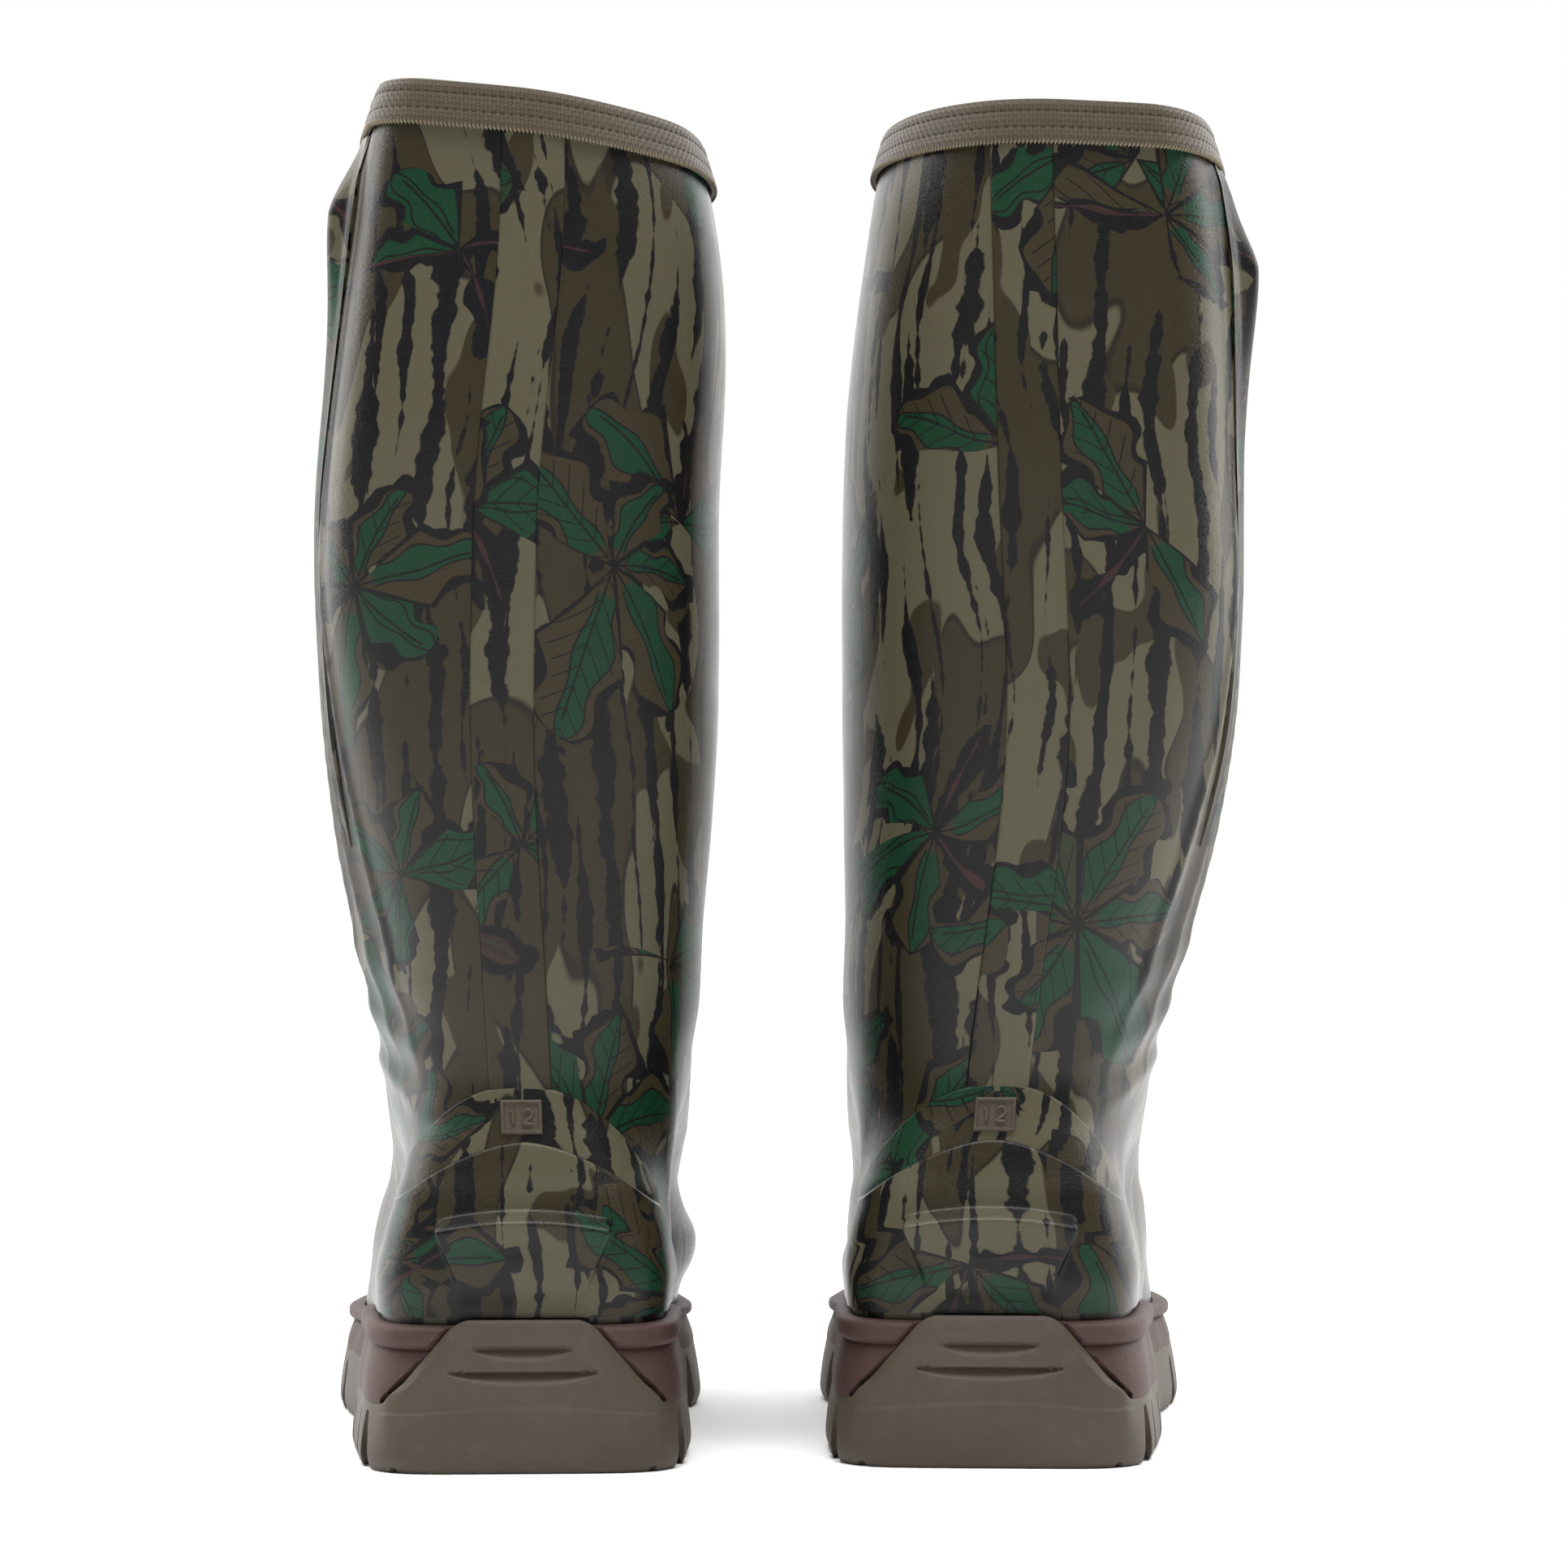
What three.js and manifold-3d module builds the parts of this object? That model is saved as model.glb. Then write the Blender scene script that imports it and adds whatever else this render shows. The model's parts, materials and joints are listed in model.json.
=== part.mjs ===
// A pair of knee-high insulated rubber hunting boots: lugged outsole, foam midsole, rubber shell over
// an insulated liner, a flexing ankle, an expanding side gusset and a bound collar.
// Units are millimetres. +Y points to the toes and +Z up; +X is the wearer's right.
// Each boot is drawn with its lateral side at +x and its heel at y = 0, then mirrored and placed.

import * as THREE from "three";
import { mergeVertices } from "three/addons/utils/BufferGeometryUtils.js";
import Module from "manifold-3d";

// ---------------------------------------------------------------- driving dimensions
const SOLE_LENGTH = 322;
const SOLE_HALF_WIDTH = 66;
const BOOT_HEIGHT = 456;
const COLLAR_DROP = 12; // the collar is this much lower at the front
const SHAFT_DEPTH = 150;
const SHAFT_HALF_WIDTH = 68;
const ANKLE_HALF_WIDTH = 51.5;
const COLLAR_HALF_WIDTH = 54.5;

const HEEL_SPACING = 153.5;
const TOE_OUT_DEGREES = 3;
const RIGHT_BOOT_AHEAD = 14.5;

const GAP = 0.3; // clearance between touching pieces
const SHELL_WALL = 2.5;
const LINER_WALL = 5;
const STIFFENER_WALL = 1.4; // heel counter and toe puff
const OVERLAY_WALL = 1.1;
const HEEL_OVERLAY_WALL = 1.8;
const BACKSTAY_WIDTH = 21;
const BACKSTAY_WALL = 1;

const OUTSOLE_WALL = 4;
const OUTSOLE_RIM = 22;
const OUTSOLE_FLOOR = 11;
const GROUND_INSET = 1.5; // insets of the outsole's wall from its widest outline: at the ground,
const RIM_INSET = 2.5; // at the rim
const TAB_INSET = 0.6; // and at the heel tab
const TREAD_DEPTH = 6;
const GROOVE_WIDTH = 6;
const GROOVE_SLANT = 0.16; // radians
const MIDDLE_RIB = 12; // the grooves stop this far from the middle line
const HEEL_GROOVES = [28, 56, 80]; // places along y
const FOREFOOT_GROOVES = [172, 196, 220, 244, 268, 292];
const ARCH_LOW = [100, 150]; // span of the arch's hollow along y at the ground
const ARCH_HIGH = [110, 144]; // and at its ceiling
const TOE_SPRING = 8;
const TOE_SPRING_START = 0.74; // share of the length
const MIDSOLE_TOP_HEEL = 48;
const MIDSOLE_TOP_TOE = 41;
const MIDSOLE_LIP = 4;
const FLOOR_HEEL = 30;
const FLOOR_TOE = 25;
const BOARD_THICKNESS = 2;
const FOOTBED_THICKNESS = 6;
const SHANK_START = 62;
const SHANK_LENGTH = 110;
const SHANK_WIDTH = 22;
const SHANK_THICKNESS = 2;

const HEEL_TAB_TOP_WIDTH = 46;
const HEEL_TAB_BASE_WIDTH = 94;
const HEEL_TAB_HEIGHT = MIDSOLE_TOP_HEEL + 2;
const LOWER_ARC_TOP = 108;
const LOWER_ARC_DROP = 24;
const UPPER_ARC_TOP = 126;
const UPPER_ARC_DROP = 30;
const ARC_HALF_WIDTH = 62;
const ARC_BEND = 1.7; // power of the arcs' fall from the crown to the sides
const KICK_WIDTH = 55;
const KICK_BOTTOM = 66;
const KICK_TOP = 85;
const KICK_DEPTH = 4.5;
const BADGE_WIDTH = 13.5;
const BADGE_HEIGHT = 11.5;
const BADGE_WALL = 1.2;
const BADGE_LOW = LOWER_ARC_TOP + 2;

const TOE_CAP_START = 252;
const TOE_PUFF_START = 272;
const TOE_BLOCK_TOP = 160; // the cut over the toes slants back up to this height
const TOE_BLOCK_SLANT = 22;
const COUNTER_END = 66;
const COUNTER_LOW = 37;
const COUNTER_TOP = 95;

const BINDING_HEIGHT = 14;
const BINDING_WALL = 1.5;
const GUSSET_START = 215;
const GUSSET_TOP_WIDTH = 36;
const GUSSET_BASE_WIDTH = 8;
const GUSSET_MARGIN = 3; // the folded sheet is wider than its opening before it is trimmed
const PLEATS = 5;
const PLEAT_DEPTH = 5;

const SIDES = 20; // facets round the boot

// ---------------------------------------------------------------- colours
const MATERIALS = {
  shell: new THREE.MeshStandardMaterial({ color: 0x4a4434, roughness: 0.45, metalness: 0 }),
  overlay: new THREE.MeshStandardMaterial({ color: 0x565041, roughness: 0.5, metalness: 0 }),
  outsole: new THREE.MeshStandardMaterial({ color: 0x5e5449, roughness: 0.7, metalness: 0 }),
  midsole: new THREE.MeshStandardMaterial({ color: 0x5f4440, roughness: 0.75, metalness: 0 }),
  binding: new THREE.MeshStandardMaterial({ color: 0x665a48, roughness: 0.9, metalness: 0 }),
  liner: new THREE.MeshStandardMaterial({ color: 0x2d3029, roughness: 0.95, metalness: 0 }),
  foam: new THREE.MeshStandardMaterial({ color: 0x3b3d38, roughness: 0.9, metalness: 0 }),
  board: new THREE.MeshStandardMaterial({ color: 0xb8ad96, roughness: 0.9, metalness: 0 }),
  steel: new THREE.MeshStandardMaterial({ color: 0x8c8f92, roughness: 0.4, metalness: 1 }),
  plastic: new THREE.MeshStandardMaterial({ color: 0x2a2823, roughness: 0.5, metalness: 0 }),
};

// ---------------------------------------------------------------- small helpers
const wasm = await Module();
wasm.setup();

const lerp = THREE.MathUtils.lerp;
const smooth = THREE.MathUtils.smoothstep;

/** Smooth value at x through stations [[x, value], ...]. */
function through(stations, x) {
  let i = 0;
  while (i < stations.length - 2 && x > stations[i + 1][0]) i += 1;
  const [x0, v0] = stations[i];
  const [x1, v1] = stations[i + 1];
  return lerp(v0, v1, smooth(x, x0, x1));
}

/** Closed solid from a BufferGeometry, for cutting and joining. */
function solid(geometry) {
  const bare = geometry.clone();
  bare.deleteAttribute("normal");
  bare.deleteAttribute("uv");
  const merged = mergeVertices(bare, 1e-4);
  return new wasm.Manifold(
    new wasm.Mesh({
      numProp: 3,
      vertProperties: new Float32Array(merged.attributes.position.array),
      triVerts: new Uint32Array(merged.index.array),
    }),
  );
}

/** BufferGeometry of a cut or joined solid. */
function geometryOf(manifold) {
  const mesh = manifold.getMesh();
  const geometry = new THREE.BufferGeometry();
  geometry.setAttribute("position", new THREE.BufferAttribute(mesh.vertProperties, 3));
  geometry.setIndex(new THREE.BufferAttribute(mesh.triVerts, 1));
  return geometry;
}

/**
 * Closed body whose skin runs through rings of points; it joins up with itself or is capped.
 * The quads that crossed(ring, place) picks are split along their other diagonal, so that the two
 * faces of a wall are split alike.
 */
function loft(rings, capped, crossed = () => false) {
  const n = rings[0].length;
  const points = rings.flat();
  const index = [];
  const last = capped ? rings.length - 1 : rings.length;
  for (let k = 0; k < last; k += 1) {
    const next = (k + 1) % rings.length;
    for (let i = 0; i < n; i += 1) {
      const j = (i + 1) % n;
      const quad = [k * n + i, k * n + j, next * n + j, next * n + i];
      const [a, b, c, d] = crossed(k, i) ? [quad[1], quad[2], quad[3], quad[0]] : quad;
      index.push(a, b, c, a, c, d);
    }
  }
  if (capped) {
    addCap(points, index, 0, n, true);
    addCap(points, index, (rings.length - 1) * n, n, false);
  }
  const geometry = new THREE.BufferGeometry().setFromPoints(points);
  geometry.setIndex(index);
  return geometry;
}

/** Fan over one ring of a capped loft. */
function addCap(points, index, first, n, facesDown) {
  const middle = new THREE.Vector3();
  for (let i = 0; i < n; i += 1) middle.addScaledVector(points[first + i], 1 / n);
  points.push(middle);
  for (let i = 0; i < n; i += 1) {
    const a = first + i;
    const b = first + ((i + 1) % n);
    index.push(points.length - 1, facesDown ? b : a, facesDown ? a : b);
  }
}

/** Closed slab: a grid of columns by rows, from its inner face to its outer face. */
function slab(columns, rows, innerPoint, outerPoint) {
  const n = 2 * columns + 2;
  const points = [];
  for (let r = 0; r <= rows; r += 1) {
    for (let c = 0; c <= columns; c += 1) points.push(outerPoint(c / columns, r / rows));
    for (let c = columns; c >= 0; c -= 1) points.push(innerPoint(c / columns, r / rows));
  }
  const index = [];
  const quad = (a, b, c, d) => index.push(a, b, c, a, c, d);
  for (let r = 0; r < rows; r += 1) {
    for (let i = 0; i < n; i += 1) {
      const corners = [r * n + i, r * n + ((i + 1) % n), (r + 1) * n + ((i + 1) % n), (r + 1) * n + i];
      quad(...(i > columns ? [corners[1], corners[2], corners[3], corners[0]] : corners));
    }
  }
  const top = rows * n;
  for (let c = 0; c < columns; c += 1) {
    const inner = n - 1 - c;
    quad(c, inner, inner - 1, c + 1);
    quad(top + c, top + c + 1, top + inner - 1, top + inner);
  }
  const geometry = new THREE.BufferGeometry().setFromPoints(points);
  geometry.setIndex(index);
  return geometry;
}

/** Prism from a closed outline in the (x, z) plane, running along y from y0 to y1. */
function prismAlongY(outline, y0, y1) {
  const geometry = new THREE.ExtrudeGeometry(new THREE.Shape(outline), {
    depth: y1 - y0,
    bevelEnabled: false,
  });
  geometry.rotateX(Math.PI / 2);
  geometry.translate(0, y1, 0);
  return solid(geometry);
}

/** Prism from a closed outline in the (y, z) plane, running along x from x0 to x1. */
function prismAlongX(outline, x0, x1) {
  const geometry = new THREE.ExtrudeGeometry(new THREE.Shape(outline), {
    depth: x1 - x0,
    bevelEnabled: false,
  });
  geometry.rotateX(Math.PI / 2);
  geometry.rotateZ(Math.PI / 2);
  geometry.translate(x0, 0, 0);
  return solid(geometry);
}

/** Box between two corners. */
function box(x0, x1, y0, y1, z0, z1) {
  const geometry = new THREE.BoxGeometry(x1 - x0, y1 - y0, z1 - z0);
  geometry.translate((x0 + x1) / 2, (y0 + y1) / 2, (z0 + z1) / 2);
  return solid(geometry);
}

const v2 = (x, y) => new THREE.Vector2(x, y);

// ---------------------------------------------------------------- plan shape of the foot
// Share of the half width at each share of the length, from heel to toe.
const HEEL_WIDTHS = [[0, 1.05], [0.17, 0.94]];
const LATERAL_WIDTHS = [...HEEL_WIDTHS, [0.4, 0.86], [0.66, 1.03], [0.83, 1], [0.93, 0.86], [1, 0.7]];
const MEDIAL_WIDTHS = [...HEEL_WIDTHS, [0.4, 0.72], [0.66, 1.03], [0.83, 1.05], [0.93, 1.05], [1, 1]];
const HEEL_ROUNDING = 0.32;
const TOE_ROUNDING = 0.78;

/** Unit plan point at angle a: 0 at the heel, a quarter turn at the lateral side, half at the toe. */
function footPlan(a) {
  const along = (1 - Math.cos(a)) / 2;
  const rounding = lerp(HEEL_ROUNDING, TOE_ROUNDING, smooth(along, 0.3, 0.7));
  const across = Math.sign(Math.sin(a)) * Math.abs(Math.sin(a)) ** rounding;
  const widths = across > 0 ? LATERAL_WIDTHS : MEDIAL_WIDTHS;
  return { along, across: across * through(widths, along) };
}

const CORNER_SQUARING = 0.42;

/** Power of the sine and cosine that squares a corner of an oval off. */
const cornerPower = (squared) => 1 - CORNER_SQUARING * squared;

/** Unit plan point of the shaft: an oval whose lateral back quarter is squared off. */
function shaftPlan(a, squared) {
  const power = cornerPower(a < Math.PI / 2 ? smooth(a, 0, 0.5) * squared : 0);
  const across = Math.sign(Math.sin(a)) * Math.abs(Math.sin(a)) ** power;
  const cosine = Math.sign(Math.cos(a)) * Math.abs(Math.cos(a)) ** power;
  return { along: (1 - cosine) / 2, across };
}

// ---------------------------------------------------------------- outer surface of the upper
// Stations from the sole to the collar: the back and front of the ring (y, z), its half width, how
// far it keeps the plan of the foot, and how far its lateral back corner is squared.
const TOP_BACK = BOOT_HEIGHT - BINDING_WALL;
const TOP_FRONT = TOP_BACK - COLLAR_DROP;
const LIP_INSET = 5;
const SHELL_INSET = LIP_INSET + MIDSOLE_LIP + GAP;
const SHAFT_FRONT = SHAFT_DEPTH - 4;

/** Height of the flat, gently sloping floor of the midsole at a place along y. */
const floorHeight = (y) => lerp(FLOOR_HEEL, FLOOR_TOE, y / SOLE_LENGTH);

const SHELL_FRONT = SOLE_LENGTH - SHELL_INSET;

// The vamp runs back from the toe to the instep, and narrows from the sole to the ankle.
const TOE_FRONT = SOLE_LENGTH - 12;
const INSTEP_FRONT = SHAFT_FRONT + 28;
const UPPER_SIDE = SOLE_HALF_WIDTH - LIP_INSET - 3.5;
const vamp = (share) => lerp(INSTEP_FRONT, TOE_FRONT, share);
const narrowed = (share) => lerp(UPPER_SIDE, ANKLE_HALF_WIDTH, share);
const LIP_SIDE = SOLE_HALF_WIDTH - SHELL_INSET;
// The ring at the lip rises with the lip's slope, to stay clear of it.
const LIP_CLEAR = MIDSOLE_TOP_HEEL + 0.25 * (MIDSOLE_TOP_HEEL - MIDSOLE_TOP_TOE);
const FOOT_BASE = {
  back: [SHELL_INSET, floorHeight(SHELL_INSET) + GAP],
  front: [SHELL_FRONT, floorHeight(SHELL_FRONT) + GAP],
};
const TOE_BULGE = {
  back: [6.5, MIDSOLE_TOP_HEEL + 14],
  front: [SOLE_LENGTH - 8, MIDSOLE_TOP_TOE + 15],
};
const FOOT_TOP = { back: [17.5, 127], front: [INSTEP_FRONT, 138] };

const FOOT_STATIONS = [
  { ...FOOT_BASE, half: LIP_SIDE, foot: 1 },
  { back: [SHELL_INSET, LIP_CLEAR], front: [SHELL_FRONT, MIDSOLE_TOP_TOE], half: LIP_SIDE, foot: 1 },
  { ...TOE_BULGE, half: narrowed(0), foot: 1 },
  { back: [7, 76], front: [TOE_FRONT, 70], half: narrowed(0.15), foot: 1 },
  { back: [9, 88], front: [vamp(0.9), 82], half: narrowed(0.6), foot: 0.95 },
  { back: [12, 98], front: [vamp(0.71), 92], half: narrowed(0.9), foot: 0.75 },
  { back: [14, 107], front: [vamp(0.46), 102], half: narrowed(1), foot: 0.5 },
  { back: [16, 116], front: [vamp(0.22), 117], half: narrowed(1), foot: 0.25 },
  { ...FOOT_TOP, half: narrowed(1), foot: 0.1, level: true },
].map((s) => ({ ...s, corner: 0 }));

const raised = (point) => [point[0], point[1] + GAP];
const ANKLE_TOP = { back: [11.5, 160], front: [SHAFT_FRONT, 190] };
const ANKLE_FLARE = 7;
const ANKLE_STATIONS = [
  { back: raised(FOOT_TOP.back), front: raised(FOOT_TOP.front), flare: 0, foot: 0.1, level: true },
  { back: [15, 143], front: [SHAFT_FRONT + 11, 164], flare: 3.5, foot: 0 },
  { ...ANKLE_TOP, flare: ANKLE_FLARE, foot: 0, level: true },
].map((s) => ({ ...s, half: ANKLE_HALF_WIDTH + s.flare, corner: 0 }));

// The shaft's stations are shares of its height up to the foot of the binding; wide is the share
// of the way from the ankle's width to the calf's.
const CALF_BACK = -4;
const UNDER_BINDING = BINDING_HEIGHT + 4;
const SHAFT_STATIONS = [
  { rise: 0, y: 11.5, wide: 0, corner: 0, level: true },
  { rise: 0.15, y: 6, wide: 0.55, corner: 0.2 },
  { rise: 0.32, y: 1, wide: 0.9, corner: 0.6 },
  { rise: 0.5, y: -2, wide: 1, corner: 1 },
  { rise: 0.68, y: CALF_BACK, wide: 0.9, corner: 1 },
  { rise: 0.86, y: CALF_BACK, wide: 0.6, corner: 1 },
  { rise: 1, y: CALF_BACK, wide: 0.12, corner: 1 },
].map((s) => ({
  ...s,
  back: [s.y, lerp(ANKLE_TOP.back[1] + GAP, TOP_BACK - UNDER_BINDING, s.rise)],
  front: [SHAFT_FRONT, lerp(ANKLE_TOP.front[1] + GAP, TOP_FRONT - UNDER_BINDING, s.rise)],
  half: lerp(ANKLE_HALF_WIDTH + ANKLE_FLARE, SHAFT_HALF_WIDTH, s.wide),
  foot: 0,
}));
SHAFT_STATIONS.push({
  ...SHAFT_STATIONS.at(-1),
  back: [CALF_BACK, TOP_BACK],
  front: [SHAFT_FRONT, TOP_FRONT],
  half: COLLAR_HALF_WIDTH,
  level: true,
});

/** Unit vector along (y, z). */
const unit = (y, z) => [y / Math.hypot(y, z), z / Math.hypot(y, z)];

/** Directions to the inside of the boot at the back and the front of a station. */
function inward(stations, k) {
  const { back, front, level } = stations[k];
  if (level) {
    const across = unit(front[0] - back[0], front[1] - back[1]);
    return { inBack: across, inFront: [-across[0], -across[1]] };
  }
  const i = Math.min(k, stations.length - 2);
  const [p, q] = [stations[i], stations[i + 1]];
  const b = unit(q.back[0] - p.back[0], q.back[1] - p.back[1]);
  const f = unit(q.front[0] - p.front[0], q.front[1] - p.front[1]);
  return { inBack: [b[1], -b[0]], inFront: [-f[1], f[0]] };
}

/** Station between two neighbours of a list; place is a whole number at each station. */
function stationAt(stations, place) {
  const i = Math.min(Math.max(Math.floor(place), 0), stations.length - 2);
  const f = place - i;
  const p = { ...stations[i], ...inward(stations, i) };
  const q = { ...stations[i + 1], ...inward(stations, i + 1) };
  const pair = (key) => p[key].map((value, k) => lerp(value, q[key][k], f));
  const single = (key) => lerp(p[key], q[key], f);
  return {
    back: pair("back"),
    front: pair("front"),
    inBack: pair("inBack"),
    inFront: pair("inFront"),
    half: single("half"),
    foot: single("foot"),
    corner: single("corner"),
  };
}

const LEVEL_FROM = 420; // over this height the collar only moves as a whole

/**
 * The boot's own shape. The ankle, the calf and the collar each lean to the lateral side by some
 * millimetres; the collar is raised on that side by its tilt and lowered by its sag; the backstay
 * turns round the shaft.
 */
class BootForm {
  constructor({ ankle, calf, collar, tilt, sag, turnDegrees }) {
    this.ankle = ankle;
    this.calf = calf;
    this.collar = collar;
    this.tilt = tilt;
    this.sag = sag;
    this.turn = THREE.MathUtils.degToRad(turnDegrees);
  }

  /** Sideways shift at height z; the ankle's fades out at the back of the heel. */
  shift(z, along) {
    const ankle = this.ankle * smooth(z, 45, 105) * smooth(along, 0, 0.25);
    return ankle + this.calf * smooth(z, 85, 265) + this.collar * smooth(z, 310, LEVEL_FROM);
  }

  /** Height of a point that lies at z on an upright boot. */
  settled(z, across) {
    return z + this.tilt * across * smooth(z, 300, LEVEL_FROM) - this.sag * smooth(z, 150, LEVEL_FROM);
  }

  /** Point on a layer of the upper at a depth below the outer surface. */
  point(stations, place, a, depth) {
    const s = stationAt(stations, place);
    const back = s.back.map((value, k) => value + s.inBack[k] * depth);
    const front = s.front.map((value, k) => value + s.inFront[k] * depth);
    const angle = THREE.MathUtils.euclideanModulo(a, 2 * Math.PI);
    const foot = footPlan(angle);
    const shaft = shaftPlan(angle, s.corner);
    const along = lerp(shaft.along, foot.along, s.foot);
    const across = lerp(shaft.across, foot.across, s.foot);
    const y = lerp(back[0], front[0], along);
    const z = lerp(back[1], front[1], along);
    return new THREE.Vector3(across * (s.half - depth) + this.shift(z, along), y, this.settled(z, across));
  }

  /** Whole ring of a layer. */
  ring(stations, place, depth) {
    const points = [];
    for (let i = 0; i < SIDES; i += 1) {
      points.push(this.point(stations, place, ((i + 0.5) / SIDES) * 2 * Math.PI, depth));
    }
    return points;
  }

  /** Closed wall between two depths, from one station place to another. */
  wall(stations, outer, inner, first = 0, last = stations.length - 1) {
    const places = [];
    for (let place = first; place <= last; place += 1) places.push(place);
    const up = places.map((place) => this.ring(stations, place, outer));
    const down = places.reverse().map((place) => this.ring(stations, place, inner));
    return loft([...up, ...down], false, (k) => k >= places.length);
  }
}

// ---------------------------------------------------------------- sole surfaces
/** Point of the sole's plan at an inset from its widest outline. */
function solePoint(a, inset, height) {
  const plan = footPlan(a);
  const y = lerp(inset, SOLE_LENGTH - inset, plan.along);
  const z = typeof height === "function" ? height(y) : height;
  return new THREE.Vector3(plan.across * (SOLE_HALF_WIDTH - inset), y, z);
}

/** Ring of the sole's plan. */
function soleRing(inset, height) {
  const points = [];
  for (let i = 0; i < SIDES; i += 1) {
    points.push(solePoint(((i + 0.5) / SIDES) * 2 * Math.PI, inset, height));
  }
  return points;
}

/** Height of the midsole's lip at a place along y. */
const midsoleTop = (y) => lerp(MIDSOLE_TOP_HEEL, MIDSOLE_TOP_TOE, smooth(y / SOLE_LENGTH, 0.2, 0.6));

/** The same heights, raised. */
const above = (height, rise) => (y) => height(y) + rise;

/** Outline of the heel tab, seen from behind, grown by a clearance. */
function heelTabOutline(grow) {
  const base = HEEL_TAB_BASE_WIDTH / 2 + grow;
  const top = HEEL_TAB_TOP_WIDTH / 2 + grow;
  const low = OUTSOLE_RIM - 4;
  const high = HEEL_TAB_HEIGHT + grow;
  return [v2(-base, low), v2(base, low), v2(top, high), v2(-top, high)];
}

/** The heel tab that climbs over the midsole: a piece of a wall that follows the sole's plan. */
function heelTab(outer, inner, grow) {
  const low = OUTSOLE_RIM - 8;
  const high = HEEL_TAB_HEIGHT + 10;
  const rings = [soleRing(outer, low), soleRing(outer, high), soleRing(inner, high), soleRing(inner, low)];
  return solid(loft(rings, false)).intersect(prismAlongY(heelTabOutline(grow), -10, SOLE_LENGTH / 8));
}

/** Lugged outsole with a heel tab; its floor carries the midsole. */
function outsole() {
  const rim = [
    soleRing(GROUND_INSET, 0),
    soleRing(0, 5),
    soleRing(RIM_INSET, OUTSOLE_RIM),
    soleRing(RIM_INSET + OUTSOLE_WALL, OUTSOLE_RIM),
    soleRing(RIM_INSET + OUTSOLE_WALL, OUTSOLE_FLOOR),
  ];
  let body = solid(loft(rim, true));
  body = body.add(heelTab(TAB_INSET, OUTSOLE_WALL, 0));
  for (const cut of treadCuts()) body = body.subtract(cut);
  return body;
}

/** Outline, seen from the side, of the space that the toe spring leaves over the floor. */
function toeSpringOutline() {
  const start = SOLE_LENGTH * TOE_SPRING_START;
  const end = SOLE_LENGTH + 5;
  const steps = 5;
  const outline = [];
  for (let i = 0; i <= steps; i += 1) {
    const reach = i / steps;
    outline.unshift(v2(lerp(start, end, reach), TOE_SPRING * reach * reach));
  }
  return [v2(start, -5), v2(end, -5), ...outline];
}

/** Grooves of the tread: the arch, cross grooves, a middle groove and notches in the edges. */
function treadCuts() {
  const half = SOLE_HALF_WIDTH + 10;
  const foot = ARCH_LOW.map((y) => v2(y, -1));
  const arch = [...foot, v2(ARCH_HIGH[1], TREAD_DEPTH), v2(ARCH_HIGH[0], TREAD_DEPTH)];
  const cuts = [prismAlongX(arch, -half, half), prismAlongX(toeSpringOutline(), -half, half)];
  for (const y of [...HEEL_GROOVES, ...FOREFOOT_GROOVES]) cuts.push(...chevron(y, half));
  return cuts;
}

/** Two slanted grooves that meet short of the middle line. */
function chevron(y, half) {
  return [-1, 1].map((side) => {
    const geometry = new THREE.BoxGeometry(half, GROOVE_WIDTH, 2 * TREAD_DEPTH);
    geometry.translate(half / 2 + MIDDLE_RIB, 0, 0);
    geometry.rotateZ(GROOVE_SLANT);
    const groove = solid(geometry);
    return (side > 0 ? groove : groove.mirror([1, 0, 0])).translate([0, y, 0]);
  });
}

/** Foam midsole: a cup that sits in the outsole and holds the upper in its lip. */
function midsole() {
  const wall = RIM_INSET + OUTSOLE_WALL + GAP;
  const rings = [
    soleRing(wall, OUTSOLE_FLOOR + GAP),
    soleRing(wall, OUTSOLE_RIM + GAP),
    soleRing(3, OUTSOLE_RIM + GAP),
    soleRing(LIP_INSET, above(midsoleTop, -9)),
    soleRing(LIP_INSET, midsoleTop),
    soleRing(LIP_INSET + MIDSOLE_LIP, midsoleTop),
    soleRing(LIP_INSET + MIDSOLE_LIP, floorHeight),
  ];
  const cut = heelTab(-6, OUTSOLE_WALL + GAP, GAP);
  return solid(loft(rings, true)).subtract(cut).subtract(shankSolid(GAP));
}

/** Steel shank under the arch; grown by a clearance it is also the pocket in the midsole. */
function shankSolid(grow) {
  const steps = 6;
  const top = [];
  const bottom = [];
  for (let i = 0; i <= steps; i += 1) {
    const y = SHANK_START - grow + ((SHANK_LENGTH + 2 * grow) * i) / steps;
    const z = floorHeight(y);
    top.unshift(v2(y, grow > 0 ? z + 8 : z - GAP));
    bottom.push(v2(y, z - GAP - SHANK_THICKNESS - grow));
  }
  const half = SHANK_WIDTH / 2 + grow;
  return prismAlongX([...bottom, ...top], -half, half);
}

/** Flat layer on the floor inside the liner. */
function floorLayer(rise, thickness) {
  const inset = SHELL_INSET + SHELL_WALL + LINER_WALL + 2 * GAP + 1;
  const levels = [rise, rise + thickness];
  return solid(loft(levels.map((level) => soleRing(inset, above(floorHeight, level))), true));
}

// ---------------------------------------------------------------- heel overlays, seen from behind
/** Outline under an arc whose crown is at a height, with sides that run down to the sole. */
function arcOutline(crown, sideDrop, base, grow) {
  const points = [];
  const steps = 12;
  for (let i = 0; i <= steps; i += 1) {
    const t = -1 + (2 * i) / steps;
    points.push(v2(ARC_HALF_WIDTH * t, crown + grow - sideDrop * Math.abs(t) ** ARC_BEND));
  }
  return [v2(ARC_HALF_WIDTH, base), ...points.reverse(), v2(-ARC_HALF_WIDTH, base)].reverse();
}

/** Rectangle with its centre on the middle line. */
function rectangle(width, low, high) {
  return [v2(-width / 2, low), v2(width / 2, low), v2(width / 2, high), v2(-width / 2, high)];
}

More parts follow.
